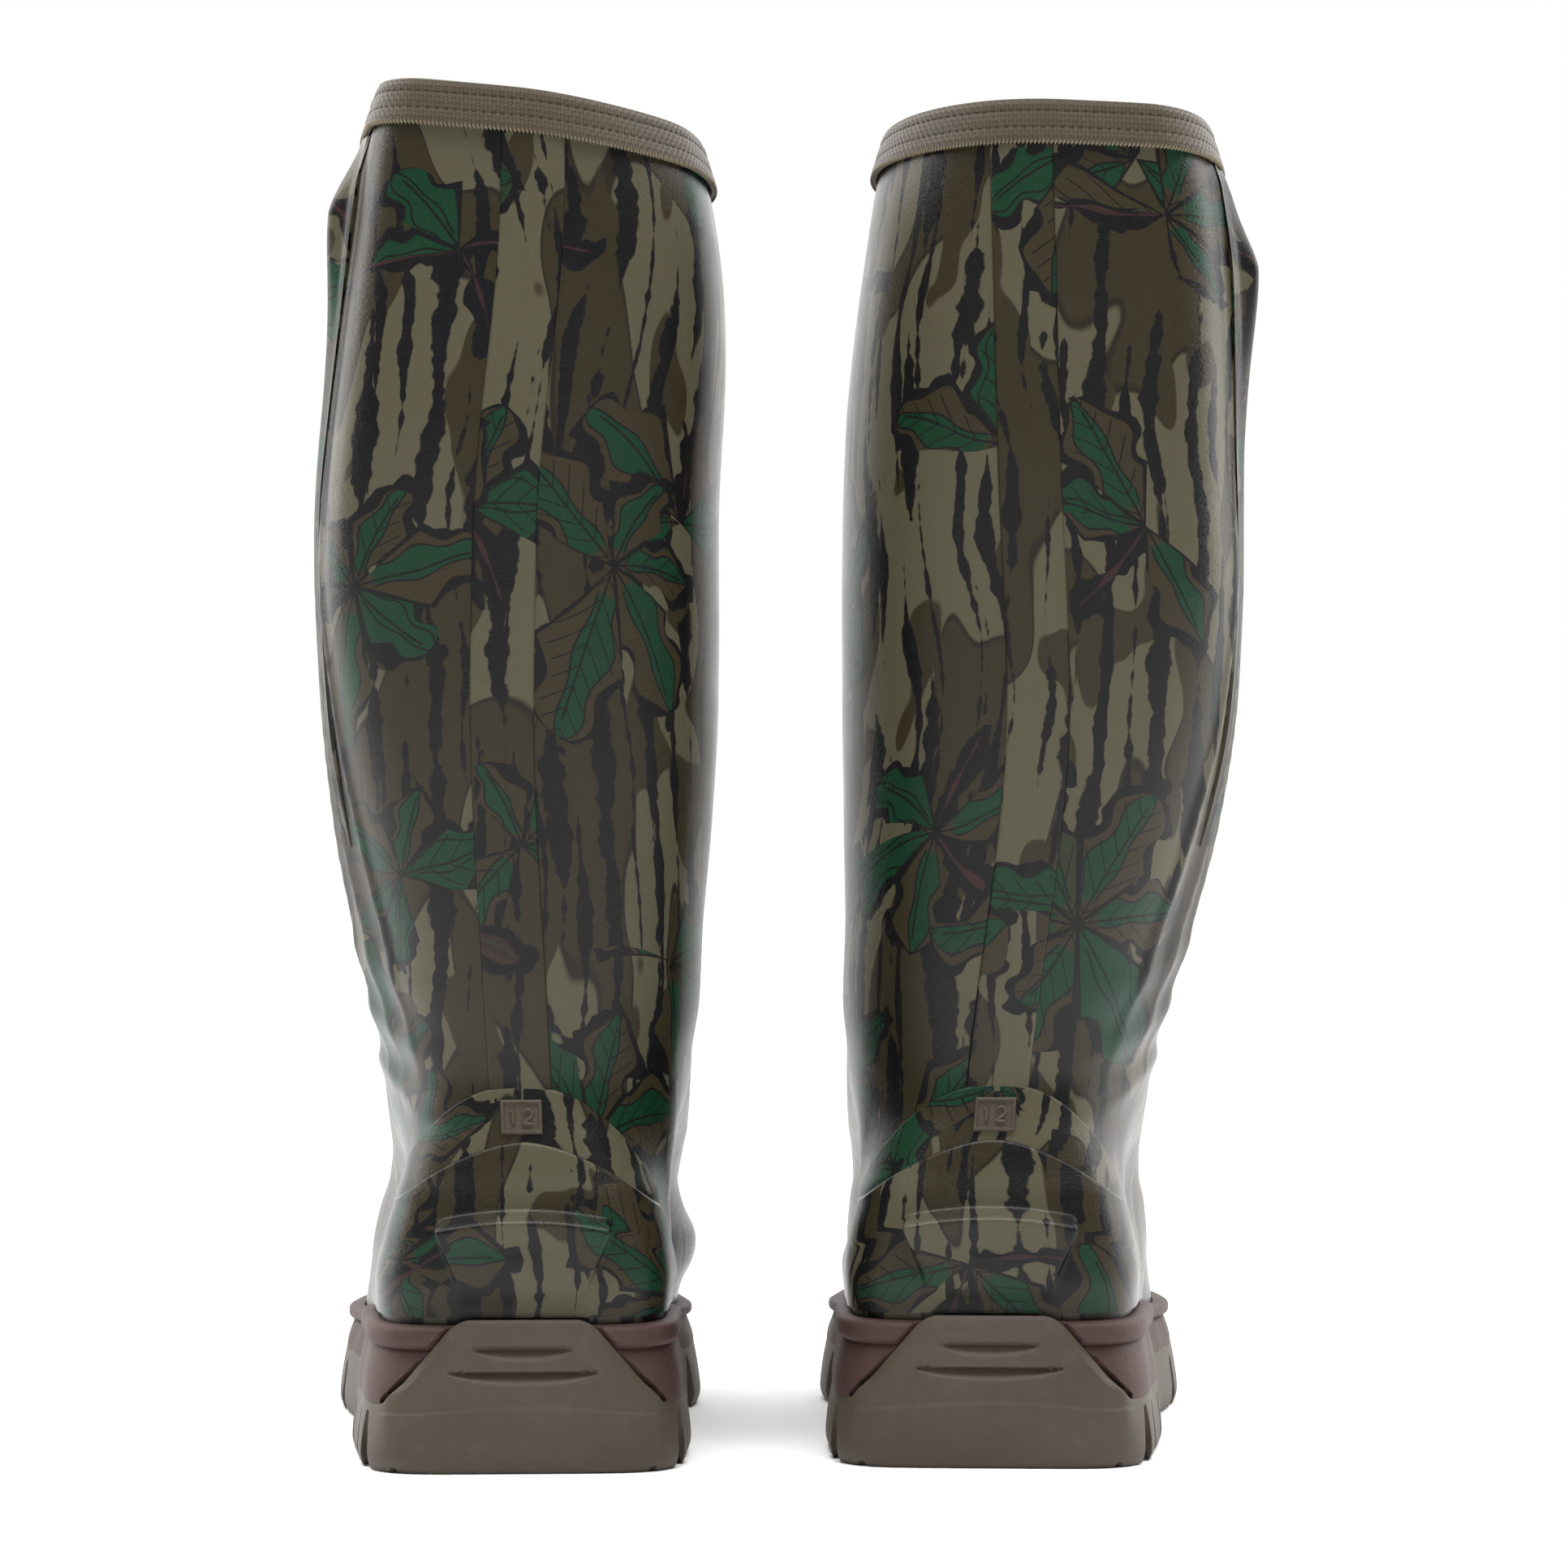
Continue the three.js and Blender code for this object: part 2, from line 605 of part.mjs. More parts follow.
const BACK_REACH = [-20, 62];

/** Overlay round the heel below the lower arc, with the kick-off ledge. */
function lowerHeelOverlay(form) {
  const outline = arcOutline(LOWER_ARC_TOP, LOWER_ARC_DROP, HEEL_TAB_HEIGHT + 1.5, 0);
  const cut = prismAlongY(outline, ...BACK_REACH);
  const skin = solid(form.wall(FOOT_STATIONS, -GAP - HEEL_OVERLAY_WALL, -GAP)).intersect(cut);
  const ledgeCut = prismAlongY(rectangle(KICK_WIDTH, KICK_BOTTOM, KICK_TOP), ...BACK_REACH);
  const ledge = solid(form.wall(FOOT_STATIONS, -GAP - KICK_DEPTH, -GAP)).intersect(ledgeCut);
  return skin.add(ledge);
}

/** Overlay between the two arcs. */
function upperHeelOverlay(form) {
  const inside = prismAlongY(arcOutline(UPPER_ARC_TOP, UPPER_ARC_DROP, KICK_BOTTOM, 0), ...BACK_REACH);
  const below = prismAlongY(arcOutline(LOWER_ARC_TOP, LOWER_ARC_DROP, MIDSOLE_TOP_TOE, GAP), ...BACK_REACH);
  const skin = solid(form.wall(FOOT_STATIONS, -GAP - OVERLAY_WALL, -GAP));
  return skin.intersect(inside).subtract(below);
}

/** Small raised plate for the size number, on the upper overlay. */
function sizeBadge(form) {
  const cut = prismAlongY(rectangle(BADGE_WIDTH, BADGE_LOW, BADGE_LOW + BADGE_HEIGHT), ...BACK_REACH);
  const under = -2 * GAP - OVERLAY_WALL;
  return solid(form.wall(FOOT_STATIONS, under - BADGE_WALL, under)).intersect(cut);
}

// ---------------------------------------------------------------- toe pieces
/** Everything above a height and in front of a slanted plane across the toes. */
function toeBlock(start, low) {
  const reach = SOLE_HALF_WIDTH + 20;
  const end = SOLE_LENGTH + 20;
  const top = [v2(end, TOE_BLOCK_TOP), v2(start - TOE_BLOCK_SLANT, TOE_BLOCK_TOP)];
  return prismAlongX([v2(start, low), v2(end, low), ...top], -reach, reach);
}

/** Rubber overlay round the toes. */
function toeCap(form) {
  const skin = solid(form.wall(FOOT_STATIONS, -GAP - OVERLAY_WALL, -GAP));
  return skin.intersect(toeBlock(TOE_CAP_START, MIDSOLE_TOP_TOE + 1));
}

/** Stiffener between shell and liner; grown by a clearance it is also the pocket in the liner. */
function stiffener(form, block, grow) {
  const outer = SHELL_WALL + GAP - (grow > 0 ? 1 : 0);
  const inner = SHELL_WALL + GAP + STIFFENER_WALL + grow;
  return solid(form.wall(FOOT_STATIONS, outer, inner)).intersect(block);
}

/** Stiffener over the toes. */
function toePuff(form, grow) {
  return stiffener(form, toeBlock(TOE_PUFF_START - grow, MIDSOLE_TOP_TOE - grow), grow);
}

/** Cup-shaped stiffener round the heel. */
function heelCounter(form, grow) {
  const reach = SOLE_HALF_WIDTH + 20;
  const block = box(-reach, reach, -20, COUNTER_END + grow, COUNTER_LOW - grow, COUNTER_TOP + grow);
  return stiffener(form, block, grow);
}

// ---------------------------------------------------------------- shaft pieces
const BINDING_PLACE = SHAFT_STATIONS.length - 1 - BINDING_HEIGHT / UNDER_BINDING;
const GUSSET_BACK = 24; // the gusset's back edge at the collar, along y
const GUSSET_TILT = 12; // the gusset's foot lies this much further forward
const GUSSET_TOP_MIDDLE = GUSSET_BACK + GUSSET_TOP_WIDTH / 2;

/** Wedge of the gusset seen from the lateral side, shrunk by a clearance. */
function gussetWedge(shrink) {
  const low = GUSSET_TOP_MIDDLE + GUSSET_TILT;
  const base = GUSSET_BASE_WIDTH / 2 - shrink;
  const top = GUSSET_TOP_WIDTH / 2 - shrink;
  const high = BOOT_HEIGHT + 20;
  const outline = [v2(low - base, GUSSET_START + shrink), v2(low + base, GUSSET_START + shrink)];
  outline.push(v2(GUSSET_TOP_MIDDLE + top, high), v2(GUSSET_TOP_MIDDLE - top, high));
  return prismAlongX(outline, 20, SHAFT_HALF_WIDTH + 60);
}

/** Angle round the shaft of the lateral point that lies at a place along y. */
function lateralAngle(place, y) {
  const s = stationAt(SHAFT_STATIONS, place);
  const cosine = 1 - (2 * (y - s.back[0])) / (s.front[0] - s.back[0]);
  return Math.acos(cosine > 0 ? cosine ** (1 / cornerPower(s.corner)) : cosine);
}

/** Pleated panel that fills the wedge; its folds stand out most just under the collar. */
function sideGusset(form) {
  const columns = 2 * PLEATS;
  const places = [0.5, 2, 3, 4, 5, 5.5, 6, BINDING_PLACE - 0.02];
  const swells = [0.3, 0.4, 0.5, 0.7, 0.9, 1, 0, 0];
  const rows = places.length - 1;
  const at = (c, r, lift) => {
    const row = Math.round(r * rows);
    const rise = row / rows;
    const middle = GUSSET_TOP_MIDDLE + GUSSET_TILT * (1 - rise);
    const half = lerp(GUSSET_BASE_WIDTH, GUSSET_TOP_WIDTH, rise) / 2 + GUSSET_MARGIN;
    const fold = Math.round(c * columns) % 2;
    const depth = lift ? -PLEAT_DEPTH * fold * swells[row] : SHELL_WALL - 3 * GAP;
    const angle = lateralAngle(places[row], lerp(middle - half, middle + half, c));
    return form.point(SHAFT_STATIONS, places[row], angle, depth);
  };
  const sheet = slab(columns, rows, (c, r) => at(c, r, false), (c, r) => at(c, r, true));
  return solid(sheet).intersect(gussetWedge(GAP));
}

/** Rubber shell of the shaft, open at the gusset. */
function shaftShell(form) {
  return solid(form.wall(SHAFT_STATIONS, 0, SHELL_WALL)).subtract(gussetWedge(0));
}

/** Strip over the back seam, from the ankle to the binding. */
function backstay(form) {
  const last = SHAFT_STATIONS.length - 2;
  const reach = BACKSTAY_WIDTH / 2 / SHAFT_HALF_WIDTH;
  const turned = (c, r) => lerp(-reach, reach, c) + form.turn * r;
  const inner = (c, r) => form.point(SHAFT_STATIONS, last * r, turned(c, r), -GAP);
  const outer = (c, r) => form.point(SHAFT_STATIONS, last * r, turned(c, r), -GAP - BACKSTAY_WALL);
  return solid(slab(4, last, inner, outer));
}

/** Folded tape over the collar: a channel whose two flanges hold the shell and the liner. */
function topBinding(form) {
  const last = SHAFT_STATIONS.length - 1;
  const clear = 2.5 * GAP; // the collar tapers, so that its facets twist
  const inside = SHELL_WALL + GAP + LINER_WALL + clear;
  const at = (depth, place, rise) => form.ring(SHAFT_STATIONS, place, depth).map((p) => p.setZ(p.z + rise));
  const rings = [
    at(-clear, BINDING_PLACE, 0),
    at(-clear - BINDING_WALL, BINDING_PLACE, 0),
    at(-clear - BINDING_WALL, last, BINDING_WALL),
    at(inside + BINDING_WALL, last, BINDING_WALL),
    at(inside + BINDING_WALL, BINDING_PLACE, 0),
    at(inside, BINDING_PLACE, 0),
    at(inside, last, GAP),
    at(-clear, last, GAP),
  ];
  return solid(loft(rings, false));
}

// ---------------------------------------------------------------- one boot
/** Mirrors a geometry so that its lateral side faces -x, keeping its faces outward. */
function mirror(geometry) {
  const position = geometry.attributes.position;
  for (let i = 0; i < position.count; i += 1) position.setX(i, -position.getX(i));
  const index = geometry.index.array;
  for (let i = 0; i < index.length; i += 3) [index[i + 1], index[i + 2]] = [index[i + 2], index[i + 1]];
}

/** All solids of one boot: name, material and shape. */
function bootPieces(form) {
  const linerDepths = [SHELL_WALL + GAP, SHELL_WALL + GAP + LINER_WALL];
  const pockets = toePuff(form, GAP).add(heelCounter(form, GAP));
  const footLiner = solid(form.wall(FOOT_STATIONS, ...linerDepths)).subtract(pockets);
  return [
    ["outsole", MATERIALS.outsole, outsole()],
    ["midsole", MATERIALS.midsole, midsole()],
    ["shank", MATERIALS.steel, shankSolid(0)],
    ["insole_board", MATERIALS.board, floorLayer(GAP, BOARD_THICKNESS)],
    ["footbed", MATERIALS.foam, floorLayer(BOARD_THICKNESS + 2 * GAP, FOOTBED_THICKNESS)],
    ["foot_shell", MATERIALS.shell, solid(form.wall(FOOT_STATIONS, 0, SHELL_WALL))],
    ["foot_liner", MATERIALS.liner, footLiner],
    ["toe_puff", MATERIALS.plastic, toePuff(form, 0)],
    ["heel_counter", MATERIALS.plastic, heelCounter(form, 0)],
    ["toe_cap", MATERIALS.overlay, toeCap(form)],
    ["lower_heel_overlay", MATERIALS.overlay, lowerHeelOverlay(form)],
    ["upper_heel_overlay", MATERIALS.overlay, upperHeelOverlay(form)],
    ["size_badge", MATERIALS.outsole, sizeBadge(form)],
    ["ankle_shell", MATERIALS.shell, solid(form.wall(ANKLE_STATIONS, 0, SHELL_WALL))],
    ["ankle_liner", MATERIALS.liner, solid(form.wall(ANKLE_STATIONS, ...linerDepths))],
    ["shaft_shell", MATERIALS.shell, shaftShell(form)],
    ["shaft_liner", MATERIALS.liner, solid(form.wall(SHAFT_STATIONS, ...linerDepths))],
    ["backstay", MATERIALS.overlay, backstay(form)],
    ["side_gusset", MATERIALS.shell, sideGusset(form)],
    ["top_binding", MATERIALS.binding, topBinding(form)],
  ];
}

/** Group of one boot; side is -1 for the left boot and 1 for the right. */
function boot(name, side, form) {
  const group = new THREE.Group();
  for (const [piece, material, shape] of bootPieces(form)) {
    const geometry = geometryOf(shape);
    if (side < 0) mirror(geometry);
    const mesh = new THREE.Mesh(geometry, material);
    mesh.name = `${name}_${piece}`;
    group.add(mesh);
  }
  group.rotation.z = -side * THREE.MathUtils.degToRad(TOE_OUT_DEGREES);
  group.position.set((side * HEEL_SPACING) / 2, side > 0 ? RIGHT_BOOT_AHEAD : 0, 0);
  return group;
}

// ---------------------------------------------------------------- the pair
const group = new THREE.Group();
const LEFT = new BootForm({ ankle: -6.7, calf: 7.5, collar: -6.5, tilt: 9.5, sag: 0, turnDegrees: -4 });
const RIGHT = new BootForm({ ankle: -1, calf: 17, collar: 2.5, tilt: 1, sag: 4, turnDegrees: -9 });
group.add(boot("left", -1, LEFT));
group.add(boot("right", 1, RIGHT));

// The origin is on the floor, in the middle of the pair.
group.updateMatrixWorld(true);
const bounds = new THREE.Box3().setFromObject(group, true);
const middle = bounds.getCenter(new THREE.Vector3());
group.position.set(-middle.x, -middle.y, -bounds.min.z);

export default group;
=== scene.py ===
"""A pair of knee-high insulated rubber hunting boots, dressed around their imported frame.

Shapes are worked out in millimetres in each boot's own frame: the lateral side at +x, the back of the
heel at y = 0, the toes at +y and the floor at z = 0. A Placement mirrors, turns and moves them into the
frame's metres.
"""

from __future__ import annotations

import json
import logging
import math
from collections.abc import Callable
from dataclasses import dataclass, field
from enum import Enum

import bmesh
import bpy
import numpy as np
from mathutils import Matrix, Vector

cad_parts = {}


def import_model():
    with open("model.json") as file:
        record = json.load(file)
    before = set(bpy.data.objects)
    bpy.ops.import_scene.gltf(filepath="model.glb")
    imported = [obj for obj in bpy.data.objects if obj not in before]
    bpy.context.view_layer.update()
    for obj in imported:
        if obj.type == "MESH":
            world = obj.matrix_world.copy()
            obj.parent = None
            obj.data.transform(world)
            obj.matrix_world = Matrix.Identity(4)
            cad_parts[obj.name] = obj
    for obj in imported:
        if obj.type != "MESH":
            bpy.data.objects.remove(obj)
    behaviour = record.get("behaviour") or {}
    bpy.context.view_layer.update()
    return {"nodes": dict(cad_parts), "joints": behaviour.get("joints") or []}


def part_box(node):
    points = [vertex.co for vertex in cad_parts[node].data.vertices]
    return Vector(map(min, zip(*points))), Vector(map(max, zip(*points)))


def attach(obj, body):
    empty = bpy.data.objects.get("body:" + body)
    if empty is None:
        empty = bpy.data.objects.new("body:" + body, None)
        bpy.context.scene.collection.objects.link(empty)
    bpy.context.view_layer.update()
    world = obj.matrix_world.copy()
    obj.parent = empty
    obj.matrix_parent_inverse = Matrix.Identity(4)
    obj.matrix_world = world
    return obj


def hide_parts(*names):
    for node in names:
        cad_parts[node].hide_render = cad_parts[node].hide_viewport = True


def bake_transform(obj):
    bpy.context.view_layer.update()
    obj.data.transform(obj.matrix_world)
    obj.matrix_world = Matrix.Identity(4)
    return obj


LOG = logging.getLogger("boots")
MM = 0.001
Array = np.ndarray


# ------------------------------------------------------------------------------ small maths
def smooth(x: Array | float, low: float, high: float) -> Array:
    """Smooth step: 0 below low, 1 above high, 3t^2 - 2t^3 between."""
    t = np.clip((np.asarray(x, float) - low) / (high - low), 0, 1)
    return t * t * (3 - 2 * t)


def mix(a: Array | float, b: Array | float, share: Array | float) -> Array:
    """Straight blend from a to b."""
    return a + (b - a) * share


def hump(x: Array, centre: float, width: float) -> Array:
    """Bell curve exp(-((x - centre) / width)^2)."""
    return np.exp(-(((x - centre) / width) ** 2))


def quarter_round(share: Array) -> Array:
    """Rounded edge: 0 at the edge and 1 from share 1 on, along a quarter of a circle."""
    return np.sqrt(np.clip(1 - (1 - np.clip(share, 0, 1)) ** 2, 0, 1))


def unit(vectors: Array) -> Array:
    """Vectors of length 1 in the same directions."""
    return vectors / (np.linalg.norm(vectors, axis=-1, keepdims=True) + 1e-9)


def lengths(line: Array) -> Array:
    """Length run along a line of points, from 0 at its first."""
    return np.concatenate([[0], np.cumsum(np.linalg.norm(np.diff(line, axis=0), axis=1))])


def halved(low: Array, high: Array, under: Callable[[Array], Array], rounds: int = 24) -> Array:
    """Value between low and high where a test stops being true, found by halving.

    Args:
        low: Values where the test is true.
        high: Values where it is false.
        under: The test.
        rounds: How often the span is halved.

    Returns:
        The values.
    """
    for _ in range(rounds):
        middle = (low + high) / 2
        below = under(middle)
        low, high = np.where(below, middle, low), np.where(below, high, middle)
    return (low + high) / 2


def unrolled(points: Array, side: int = 1) -> Array:
    """Flat pattern coordinates of a grid.

    Across is the length run along each row from its middle column, and up is the length run along
    each column from the first row, both in metres.

    Args:
        points: Grid of points in millimetres, rows by columns by 3.
        side: -1 turns the pattern of a mirrored boot back, so that it isn't mirrored too.

    Returns:
        Grid of pattern coordinates, rows by columns by 2.
    """
    steps = np.linalg.norm(np.diff(points, axis=1), axis=2)
    across = np.concatenate([np.zeros((len(points), 1)), np.cumsum(steps, axis=1)], axis=1)
    across -= across[:, [across.shape[1] // 2]]
    rises = np.linalg.norm(np.diff(points, axis=0), axis=2)
    up = np.concatenate([np.zeros((1, points.shape[1])), np.cumsum(rises, axis=0)], axis=0)
    return np.stack([side * across, up], axis=-1) * MM


# ------------------------------------------------------------------------------ meshes
@dataclass(frozen=True)
class Placement:
    """Where a boot stands: mirrored when side is -1, turned about z and moved."""

    side: int
    turn: float
    origin: tuple[float, float]

    @classmethod
    def from_hinge(cls, joint: dict, side: int, hinge_ahead: float) -> Placement:
        """Placement of the boot whose ankle hinge is a joint of the frame.

        Args:
            joint: The frame's joint, with its place in metres and its axis across the boot.
            side: -1 for the left boot, 1 for the right.
            hinge_ahead: How far the hinge lies ahead of the heel, in millimetres.

        Returns:
            The placement.
        """
        turn = math.atan2(-joint["axis"][1], -joint["axis"][0])
        x = joint["pos_m"][0] / MM + math.sin(turn) * hinge_ahead
        y = joint["pos_m"][1] / MM - math.cos(turn) * hinge_ahead
        return cls(side, turn, (x, y))

    def world(self, points: Array) -> Array:
        """Moves points from the boot's own millimetres into the pair's frame, in metres.

        Args:
            points: Points in millimetres.

        Returns:
            The moved points.
        """
        points = np.asarray(points, float)
        x = points[..., 0] * self.side
        c, s = math.cos(self.turn), math.sin(self.turn)
        moved = [c * x - s * points[..., 1] + self.origin[0], s * x + c * points[..., 1] + self.origin[1]]
        return np.stack([*moved, points[..., 2]], axis=-1) * MM


@dataclass
class Patch:
    """A grid of points with its pattern coordinates."""

    points: Array
    flat: Array | None = None

    def faces(self, first: int) -> Array:
        """Quads between neighbouring rows and columns, numbered from first.

        Args:
            first: Number of the grid's first point.

        Returns:
            Rows of four point numbers.
        """
        rows, columns = self.points.shape[:2]
        corner = (np.arange(rows - 1)[:, None] * columns + np.arange(columns - 1)[None, :]).ravel() + first
        return np.stack([corner, corner + 1, corner + columns + 1, corner + columns], axis=1)


def build_mesh(name: str, patches: list[Patch], place: Placement, sharp: float = 38) -> bpy.types.Object:
    """One object from grids that meet at shared edges.

    The grids' borders are welded, quads that collapse at a pole are dissolved, and the faces are
    turned outwards.

    Args:
        name: The piece's name.
        patches: The grids, in the boot's own millimetres.
        place: Where the boot stands.
        sharp: Edges that bend more than this many degrees stay crisp.

    Returns:
        The new object, at the origin.
    """
    verts = np.concatenate([place.world(p.points).reshape(-1, 3) for p in patches])
    flats = [p.flat if p.flat is not None else unrolled(p.points, place.side) for p in patches]
    flat = np.concatenate([f.reshape(-1, 2) for f in flats])
    faces, first = [], 0
    for patch in patches:
        faces.append(patch.faces(first))
        first += patch.points.shape[0] * patch.points.shape[1]
    quads = np.concatenate(faces)
    mesh = bpy.data.meshes.new(name)
    mesh.vertices.add(len(verts))
    mesh.vertices.foreach_set("co", verts.astype(np.float32).ravel())
    mesh.loops.add(quads.size)
    mesh.loops.foreach_set("vertex_index", quads.astype(np.int32).ravel())
    mesh.polygons.add(len(quads))
    mesh.polygons.foreach_set("loop_start", np.arange(0, quads.size, 4, dtype=np.int32))
    mesh.update(calc_edges=True)
    layer = mesh.uv_layers.new(name="pattern")
    layer.data.foreach_set("uv", flat[quads.ravel()].astype(np.float32).ravel())
    work = bmesh.new()
    work.from_mesh(mesh)
    bmesh.ops.remove_doubles(work, verts=work.verts, dist=2e-6)
    bmesh.ops.dissolve_degenerate(work, edges=work.edges, dist=1e-7)
    bmesh.ops.recalc_face_normals(work, faces=work.faces)
    for face in work.faces:
        face.smooth = True
    work.to_mesh(mesh)
    work.free()
    mesh.set_sharp_from_angle(angle=math.radians(sharp))
    piece = bpy.data.objects.new(name, mesh)
    bpy.context.scene.collection.objects.link(piece)
    return piece


def slab_patches(outer: Array, inner: Array) -> list[Patch]:
    """Closed slab: its two faces and the four strips that join their borders.

    Args:
        outer: Grid of the outer face.
        inner: Grid of the inner face, of the same shape.

    Returns:
        The six patches.
    """
    strips = [
        np.stack([outer[0], inner[0]]),
        np.stack([outer[-1], inner[-1]]),
        np.stack([outer[:, 0], inner[:, 0]]),
        np.stack([outer[:, -1], inner[:, -1]]),
    ]
    return [Patch(outer), Patch(inner), *[Patch(s) for s in strips]]


def ladder(ring: Array, steps: int, height: Callable | None = None) -> Array:
    """Grid across a closed ring: each rung joins a point to its mirror point on the other side.

    Args:
        ring: Points of the ring, where the first and last are the same and the ring is symmetric.
        steps: Parts of a rung.
        height: Function of x and y that gives z of the inner points, or None for straight rungs.

    Returns:
        Grid with a row for each rung.
    """
    half = len(ring) // 2
    near, far = ring[: half + 1], ring[::-1][: half + 1]
    share = np.linspace(0, 1, steps + 1)[None, :, None]
    grid = mix(near[:, None, :], far[:, None, :], share)
    if height is not None:
        grid[:, 1:-1, 2] = height(grid[:, 1:-1, 0], grid[:, 1:-1, 1])
    return grid


def tube(path: Array, radius: Array | float, sides: int = 8, up: tuple = (0, 0, 1)) -> Patch:
    """Round tube along a path, closed to a point at both ends.

    Each ring stands square to the path: centre + radius (cos b * side + sin b * lift), where side is
    the path's direction crossed with up, and lift is side crossed with the direction.

    Args:
        path: Points along the middle.
        radius: Radius of the tube.
        sides: Faces round it.
        up: Direction that never runs along the path.

    Returns:
        The patch.
    """
    path = np.asarray(path, float)
    along = unit(np.gradient(path, axis=0))
    across = unit(np.cross(along, np.asarray(up, float)))
    lift = np.cross(across, along)
    b = np.linspace(0, 2 * np.pi, sides + 1)[None, :, None]
    size = np.broadcast_to(np.asarray(radius, float), (len(path),))[:, None, None]
    rings = path[:, None] + size * (np.cos(b) * across[:, None] + np.sin(b) * lift[:, None])
    ends = [np.repeat(path[[k]][:, None], sides + 1, axis=1) for k in (0, -1)]
    return Patch(np.concatenate([ends[0], rings, ends[1]]))


def stitches(centres: Array, along: Array, out: Array, length: float, radius: float) -> list[Patch]:
    """Short rounded threads.

    Args:
        centres: Middle of each thread.
        along: Unit direction of each thread.
        out: Unit direction away from the cloth.
        length: Length of a thread.
        radius: Its radius; the ends dive into the cloth.

    Returns:
        One patch for each thread, of six sides and five rings.
    """
    reach = np.linspace(-1, 1, 5)
    swell = np.array([0.35, 0.9, 1, 0.9, 0.35]) * radius
    dive = -(reach**4) * radius
    side = np.cross(along, out)
    b = np.linspace(0, 2 * np.pi, 7)
    spine = (
        centres[:, None]
        + along[:, None] * (reach * length / 2)[None, :, None]
        + out[:, None] * dive[None, :, None]
    )
    ring = side[:, None, :] * np.cos(b)[None, :, None] + out[:, None, :] * np.sin(b)[None, :, None]
    points = spine[:, :, None, :] + swell[None, :, None, None] * ring[:, None]
    return [Patch(p) for p in points]


# ------------------------------------------------------------------------------ plan shapes
# Share of the half width at each share of the sole's length, from heel to toe.
HEEL_WIDTHS = ((0, 1.05), (0.17, 0.94))
LATERAL_WIDTHS = (*HEEL_WIDTHS, (0.4, 0.86), (0.66, 1.03), (0.83, 1), (0.93, 0.86), (1, 0.7))
MEDIAL_WIDTHS = (*HEEL_WIDTHS, (0.4, 0.72), (0.66, 1.03), (0.83, 1.05), (0.93, 1.05), (1, 1))
HEEL_ROUNDING = 0.32
TOE_ROUNDING = 0.78
CORNER_SQUARING = 0.42


def through(stations: tuple, x: Array) -> Array:
    """Value at x through stations, with a smooth step from each to the next.

    Args:
        stations: Rows of a place and a value.
        x: Places to look up.

    Returns:
        The values.
    """
    value = np.full(np.shape(x), float(stations[0][1]))
    for (x0, v0), (x1, v1) in zip(stations[:-1], stations[1:]):
        value = value + (v1 - v0) * smooth(x, x0, x1)
    return value


def power_of(x: Array, power: Array | float) -> Array:
    """Power of the size of x that keeps its sign."""
    return np.sign(x) * np.abs(x) ** power


def foot_plan(a: Array) -> tuple[Array, Array]:
    """Unit plan of the foot at angle a, which is 0 at the heel and positive on the lateral side.

    Along is (1 - cos a) / 2. Across is sin a with its size raised to a power, which goes from the
    heel's rounding to the toe's, times the width there.

    Args:
        a: Angles round the form.

    Returns:
        Share of the length and share of the half width.
    """
    along = (1 - np.cos(a)) / 2
    rounding = mix(HEEL_ROUNDING, TOE_ROUNDING, smooth(along, 0.3, 0.7))
    across = power_of(np.sin(a), rounding)
    widths = np.where(across > 0, through(LATERAL_WIDTHS, along), through(MEDIAL_WIDTHS, along))
    return along, across * widths


def shaft_plan(a: Array, squared: Array) -> tuple[Array, Array]:
    """Unit plan of the shaft: an oval whose lateral back quarter is squared off by a lower power.

    Args:
        a: Angles round the form.
        squared: How far the corner is squared off.

    Returns:
        Share of the length and share of the half width.
    """
    back_quarter = (a > 0) & (a < np.pi / 2)
    power = 1 - CORNER_SQUARING * np.where(back_quarter, smooth(a, 0, 0.5) * squared, 0)
    return (1 - power_of(np.cos(a), power)) / 2, power_of(np.sin(a), power)


@dataclass(frozen=True)
class Hoop:
    """One ring of the upper: back and front points (y, z), half width, share of the foot's plan and
    how far the lateral back corner is squared."""

    back: tuple[float, float]
    front: tuple[float, float]
    half: float
    foot: float
    corner: float = 0


HOOPS = (
    Hoop((9.3, 30.2), (312.7, 25.4), 56.7, 1),
    Hoop((9.3, 49.75), (312.7, 41), 56.7, 1),
    Hoop((6.5, 62), (314, 56), 57.5, 1),
    Hoop((7, 76), (310, 70), 55, 1),
    Hoop((9, 88), (296.4, 82), 52.6, 0.95),
    Hoop((12, 98), (270.6, 92), 52.8, 0.75),
    Hoop((14, 107), (236.6, 102), 53.6, 0.5),
    Hoop((16, 116), (203.9, 117), 54, 0.25),
    Hoop((17.5, 127), (174, 138), 54, 0.1),
    Hoop((15, 143), (157, 164), 56.3, 0),
    Hoop((11.5, 160), (146, 190), 58.5, 0),
    Hoop((6, 201.7), (146, 225.1), 63.7, 0, 0.2),
    Hoop((1, 248.7), (146, 264.6), 67, 0, 0.6),
    Hoop((-2, 298.4), (146, 306.4), 68, 0, 1),
    Hoop((-4, 348.1), (146, 348.2), 67, 0, 1),
    Hoop((-4, 397.8), (146, 390), 64.2, 0, 1),
    Hoop((-4, 436.5), (146, 424.5), 59.6, 0, 1),
    Hoop((-4, 454.5), (146, 442.5), 54.5, 0, 1),
)
COLLAR = len(HOOPS) - 1
# Length and half width that the plans of the foot and the shaft are stretched to, for even columns.
FOOT_SIZE = (303, 60)
SHAFT_SIZE = (150, 71)


